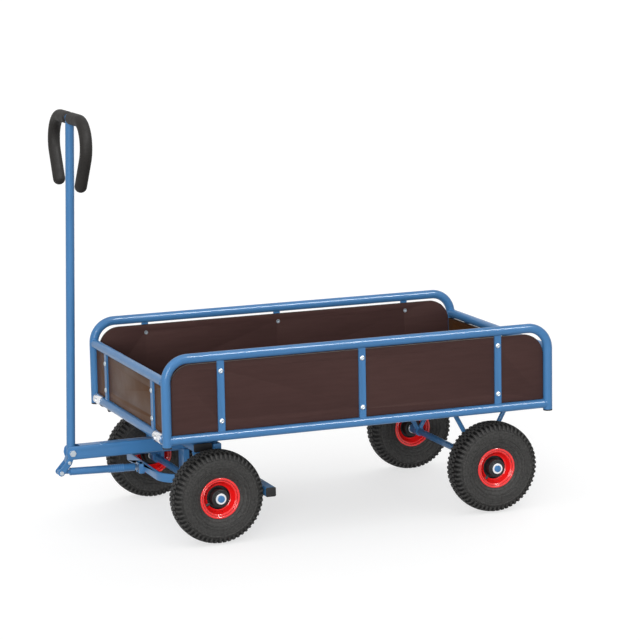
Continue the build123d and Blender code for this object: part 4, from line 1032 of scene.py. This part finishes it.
class CART_OT_make_panel_bolts(bpy.types.Operator):
    """Model the domed bolts of the wall panels with their sleeve nuts"""

    bl_idname = "cart.make_panel_bolts"
    bl_label = "Panel bolts"

    def execute(self, context):
        bolt = turned_piece("panel_bolt", [in_metres(BOLT_OUTLINE)], BOLT_STEPS)
        smooth(bolt, angle=35)
        middle = box_middle("deck_board")
        head = BOLT_HEAD * MM
        side_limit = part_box("side_panel_left")[0].y
        copies = []
        for number, (low, high) in enumerate(solid_boxes("panel_bolts")):
            centre = (low + high) / 2
            if abs(centre.y) > side_limit:
                outwards = 0 if centre.y > 0 else math.pi
                outer = Vector((centre.x, high.y - head if centre.y > 0 else low.y + head, centre.z))
            else:
                outwards = -math.pi / 2 if centre.x > middle.x else math.pi / 2
                outer = Vector((high.x - head if centre.x > middle.x else low.x + head, centre.y, centre.z))
            place = Matrix.Translation(outer) @ Matrix.Rotation(outwards, 4, "Z")
            copies.append(copy_piece(bolt, f"panel_bolt_{number}", place))
        bpy.data.objects.remove(bolt)
        bolts = join_pieces(copies, "panel_bolt_set")
        finish_piece(bolts, "bed", "zinc_steel", finishes()["zinc_steel"], "panel_bolts")
        return {"FINISHED"}


# Welded corners in millimetres: a bead lies this far from the axis of the corner tube, and ripples by a share
WELD_SETBACK = 11.5
WELD_STEPS = 56
WELD_SIDES = 8
RIPPLE_SIZE = 3.0
RIPPLE_SHARE = 0.25


class CART_OT_make_welds(bpy.types.Operator):
    """Model the weld beads where the rails meet the corner tubes"""

    bl_idname = "cart.make_welds"
    bl_label = "Weld beads"

    def execute(self, context):
        tube_r = box_size("side_tube_left").y / 2 * MM
        low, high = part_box("side_rails")
        rail_r = (high.z - low.z) / 2
        side_y = high.y - rail_r
        rail_z = high.z - rail_r
        tube_low, tube_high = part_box("side_tube_left")
        top_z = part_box("end_rails")[1].z - rail_r
        ends = (tube_high.x - tube_r, tube_low.x + tube_r)
        places = []
        for x, inwards in zip(ends, (-1, 1)):
            for y in (side_y, -side_y):
                places.append((Vector((x + inwards * WELD_SETBACK * MM, y, rail_z)), (0, math.pi / 2, 0)))
                across = y - math.copysign(WELD_SETBACK * MM, y)
                for z in (rail_z, top_z):
                    places.append((Vector((x, across, z)), (math.pi / 2, 0, 0)))
        bead = settings().sizes.weld_bead / 2
        clouds = bpy.data.textures.new("weld_ripple", "CLOUDS")
        clouds.noise_scale = RIPPLE_SIZE * MM
        beads = []
        for number, (place, turn) in enumerate(places):
            ring = start_piece(
                f"weld_{number}", bpy.ops.mesh.primitive_torus_add, major_radius=rail_r, minor_radius=bead,
                major_segments=WELD_STEPS, minor_segments=WELD_SIDES, location=place, rotation=turn,
            )
            bpy.ops.object.transform_apply(location=True, rotation=True, scale=True)
            ripple = ring.modifiers.new("ripple", "DISPLACE")
            ripple.strength = RIPPLE_SHARE * bead
            ripple.texture = clouds
            ripple.texture_coords = "LOCAL"
            bpy.ops.object.modifier_apply(modifier=ripple.name)
            beads.append(ring)
        welds = join_pieces(beads, "corner_welds")
        # The outer sides of the welds are ground flush with the corner tubes
        for vertex in welds.data.vertices:
            vertex.co.y = max(-tube_high.y, min(tube_high.y, vertex.co.y))
        smooth(welds, angle=60)
        finish_piece(welds, "bed", "frame_blue", finishes()["frame_blue"])
        return {"FINISHED"}


# Threaded sleeve of the brake rod in millimetres: distances behind the rod pin, ridges, stud from the axle
SLEEVE_START = 142.0
SLEEVE_PITCH = 6.0
SLEEVE_RIDGES = 8
SLEEVE_STEPS = 40
SLEEVE_SINK = 0.5
ROD_R = 11.0
RIDGE_RISE = 0.9
VALLEY_RISE = 0.1
RIDGE_FOOT = 0.6
RIDGE_TOP = 1.8
STUD_AHEAD = 122.8
STUD_RAISE = 33.0


class CART_OT_make_rod_sleeve(bpy.types.Operator):
    """Model the ridged adjusting sleeve on the brake rod"""

    bl_idname = "cart.make_rod_sleeve"
    bl_label = "Rod sleeve"

    def execute(self, context):
        crest = ROD_R + RIDGE_RISE
        valley = ROD_R + VALLEY_RISE
        inside = ROD_R - SLEEVE_SINK
        outline = [(inside, 0.0)]
        for ridge in range(SLEEVE_RIDGES):
            start = ridge * SLEEVE_PITCH
            end = start + SLEEVE_PITCH
            outline += [(valley, start + RIDGE_FOOT), (crest, start + RIDGE_TOP)]
            outline += [(crest, end - RIDGE_TOP), (valley, end - RIDGE_FOOT)]
        outline += [(inside, SLEEVE_RIDGES * SLEEVE_PITCH)]
        sleeve = turned_piece("rod_sleeve", [in_metres(outline)], SLEEVE_STEPS)
        smooth(sleeve, angle=45)
        pin = Vector(JOINTS["brake_rod_link"]["pos_m"])
        axle = box_middle("tyre_front_left")
        stud = Vector((axle.x + STUD_AHEAD * MM, 0, axle.z + STUD_RAISE * MM))
        along = (stud - pin).normalized()
        place = Matrix.Translation(pin + along * SLEEVE_START * MM)
        sleeve.data.transform(place @ along.to_track_quat("Y", "Z").to_matrix().to_4x4())
        finish_piece(sleeve, "brake_rod", "frame_blue", finishes()["frame_blue"])
        return {"FINISHED"}


# Camera, fitted to the photograph's view: it looks at a point on the bed from the front left
CAMERA_AIM = (-0.1179, -0.0203, 0.5466)
CAMERA_DISTANCE = 7.6677
CAMERA_AZIMUTH = 68.666
CAMERA_ELEVATION = 9.892
CAMERA_ROLL = -1.030
CAMERA_LENS = 146.24
CAMERA_DEPTH = 200.0
# Floor and world: the floor's grey, its lift to white for the view, and the world's light on the cart
FLOOR_SIZE = 90.0
FLOOR_DROP = 0.1 * MM
FLOOR_GREY = (0.42, 0.42, 0.42, 1)
FLOOR_LIFT = 0.655
AMBIENT = 0.32


class CART_OT_set_stage(bpy.types.Operator):
    """Set the floor, the light and the camera"""

    bl_idname = "cart.set_stage"
    bl_label = "Stage"

    def execute(self, context):
        self.lay_floor()
        self.light_world(context)
        self.add_lamp("overhead_light", (1.2, 1.6, 5.0), angle=80, strength=1.15)
        self.add_lamp("front_light", (2.7, 4.75, 0.95), angle=28, strength=2.35)
        self.add_lamp("back_light", (-3.4, -4.2, 2.2), angle=70, strength=1.20, shines=False)
        self.add_lamp("strip_light", (-1.8, 3.1, 3.5), angle=18, strength=3.2, lights=False)
        self.add_camera(context)
        context.scene.view_settings.view_transform = "Standard"
        return {"FINISHED"}

    def white_to_view(self, tree):
        """One for what the camera sees directly, in gloss or through glass, and nought for the light."""
        rays = add_node(tree, "ShaderNodeLightPath")
        seen = maths(tree, "MAXIMUM", rays.outputs["Is Camera Ray"], rays.outputs["Is Glossy Ray"])
        return maths(tree, "MAXIMUM", seen, rays.outputs["Is Transmission Ray"])

    def lay_floor(self):
        """A pale floor that looks white and keeps the cart's shadow."""
        floor = start_piece(
            "floor", bpy.ops.mesh.primitive_plane_add, size=FLOOR_SIZE, location=(0, 0, -FLOOR_DROP),
        )
        material = bpy.data.materials.new("pale_floor")
        material.use_nodes = True
        tree = material.node_tree
        tree.nodes.remove(tree.nodes["Principled BSDF"])
        seen = self.white_to_view(tree)
        matt = add_node(tree, "ShaderNodeBsdfDiffuse", {"Color": FLOOR_GREY})
        lift = maths(tree, "MULTIPLY", seen, FLOOR_LIFT)
        glow = add_node(tree, "ShaderNodeEmission", {"Color": (1, 1, 1, 1), "Strength": lift})
        both = add_node(tree, "ShaderNodeAddShader", {0: matt.outputs[0], 1: glow.outputs[0]})
        tree.links.new(both.outputs[0], tree.nodes["Material Output"].inputs["Surface"])
        floor.data.materials.append(material)

    def light_world(self, context):
        """A world that looks white and lights the cart softly."""
        world = bpy.data.worlds.new("studio")
        context.scene.world = world
        world.use_nodes = True
        tree = world.node_tree
        strength = add_node(
            tree, "ShaderNodeMapRange", {"Value": self.white_to_view(tree), "To Min": AMBIENT, "To Max": 1.0},
        )
        ground = tree.nodes["Background"]
        ground.inputs["Color"].default_value = (1, 1, 1, 1)
        tree.links.new(strength.outputs["Result"], ground.inputs["Strength"])

    def add_lamp(self, name, place, angle, strength, lights=True, shines=True):
        """A broad light from the direction of a place, which lights surfaces and shines in their gloss."""
        clear_selection()
        bpy.ops.object.light_add(type="SUN", location=place)
        lamp = bpy.context.object
        lamp.name = name
        lamp.data.angle = math.radians(angle)
        lamp.data.energy = strength
        lamp.visible_diffuse = lights
        lamp.visible_glossy = shines
        lamp.rotation_euler = Vector(place).to_track_quat("Z", "Y").to_euler()

    def add_camera(self, context):
        """The camera at the photograph's viewing angle."""
        clear_selection()
        bpy.ops.object.camera_add()
        camera = bpy.context.object
        azimuth = math.radians(CAMERA_AZIMUTH)
        elevation = math.radians(CAMERA_ELEVATION)
        level = math.cos(elevation)
        back = Vector((level * math.cos(azimuth), level * math.sin(azimuth), math.sin(elevation)))
        right = Vector((0, 0, 1)).cross(back).normalized()
        axes = Matrix((right, back.cross(right), back)).transposed().to_4x4()
        roll = Matrix.Rotation(math.radians(CAMERA_ROLL), 4, "Z")
        place = Matrix.Translation(Vector(CAMERA_AIM) + CAMERA_DISTANCE * back)
        camera.matrix_world = place @ axes @ roll
        camera.data.lens = CAMERA_LENS
        camera.data.clip_end = CAMERA_DEPTH
        context.scene.camera = camera


OPERATORS = (
    CART_OT_finish_frame,
    CART_OT_soften_edges,
    CART_OT_make_tyres,
    CART_OT_make_rims,
    CART_OT_make_hubs,
    CART_OT_make_valve_caps,
    CART_OT_make_grips,
    CART_OT_make_panel_bolts,
    CART_OT_make_welds,
    CART_OT_make_rod_sleeve,
    CART_OT_set_stage,
)


class CART_PT_sidebar(bpy.types.Panel):
    """Sizes, colours and steps of the hand cart"""

    bl_idname = "CART_PT_sidebar"
    bl_label = "Hand cart"
    bl_space_type = "VIEW_3D"
    bl_region_type = "UI"
    bl_category = "Hand cart"

    def draw(self, context):
        for group in (settings().sizes, settings().colours):
            for name in group.__annotations__:
                self.layout.prop(group, name)
        for operator in OPERATORS:
            self.layout.operator(operator.bl_idname)


CLASSES = (CartSizes, CartColours, CartSettings, *OPERATORS, CART_PT_sidebar)


def register():
    for cls in CLASSES:
        bpy.utils.register_class(cls)
    bpy.types.Scene.hand_cart = bpy.props.PointerProperty(type=CartSettings)


def unregister():
    del bpy.types.Scene.hand_cart
    for cls in reversed(CLASSES):
        bpy.utils.unregister_class(cls)


def main():
    register()
    bpy.ops.cart.finish_frame()
    bpy.ops.cart.soften_edges()
    bpy.ops.cart.make_tyres()
    bpy.ops.cart.make_rims()
    bpy.ops.cart.make_hubs()
    bpy.ops.cart.make_valve_caps()
    bpy.ops.cart.make_grips()
    bpy.ops.cart.make_panel_bolts()
    bpy.ops.cart.make_welds()
    bpy.ops.cart.make_rod_sleeve()
    bpy.ops.cart.set_stage()


if __name__ == "__main__":
    main()
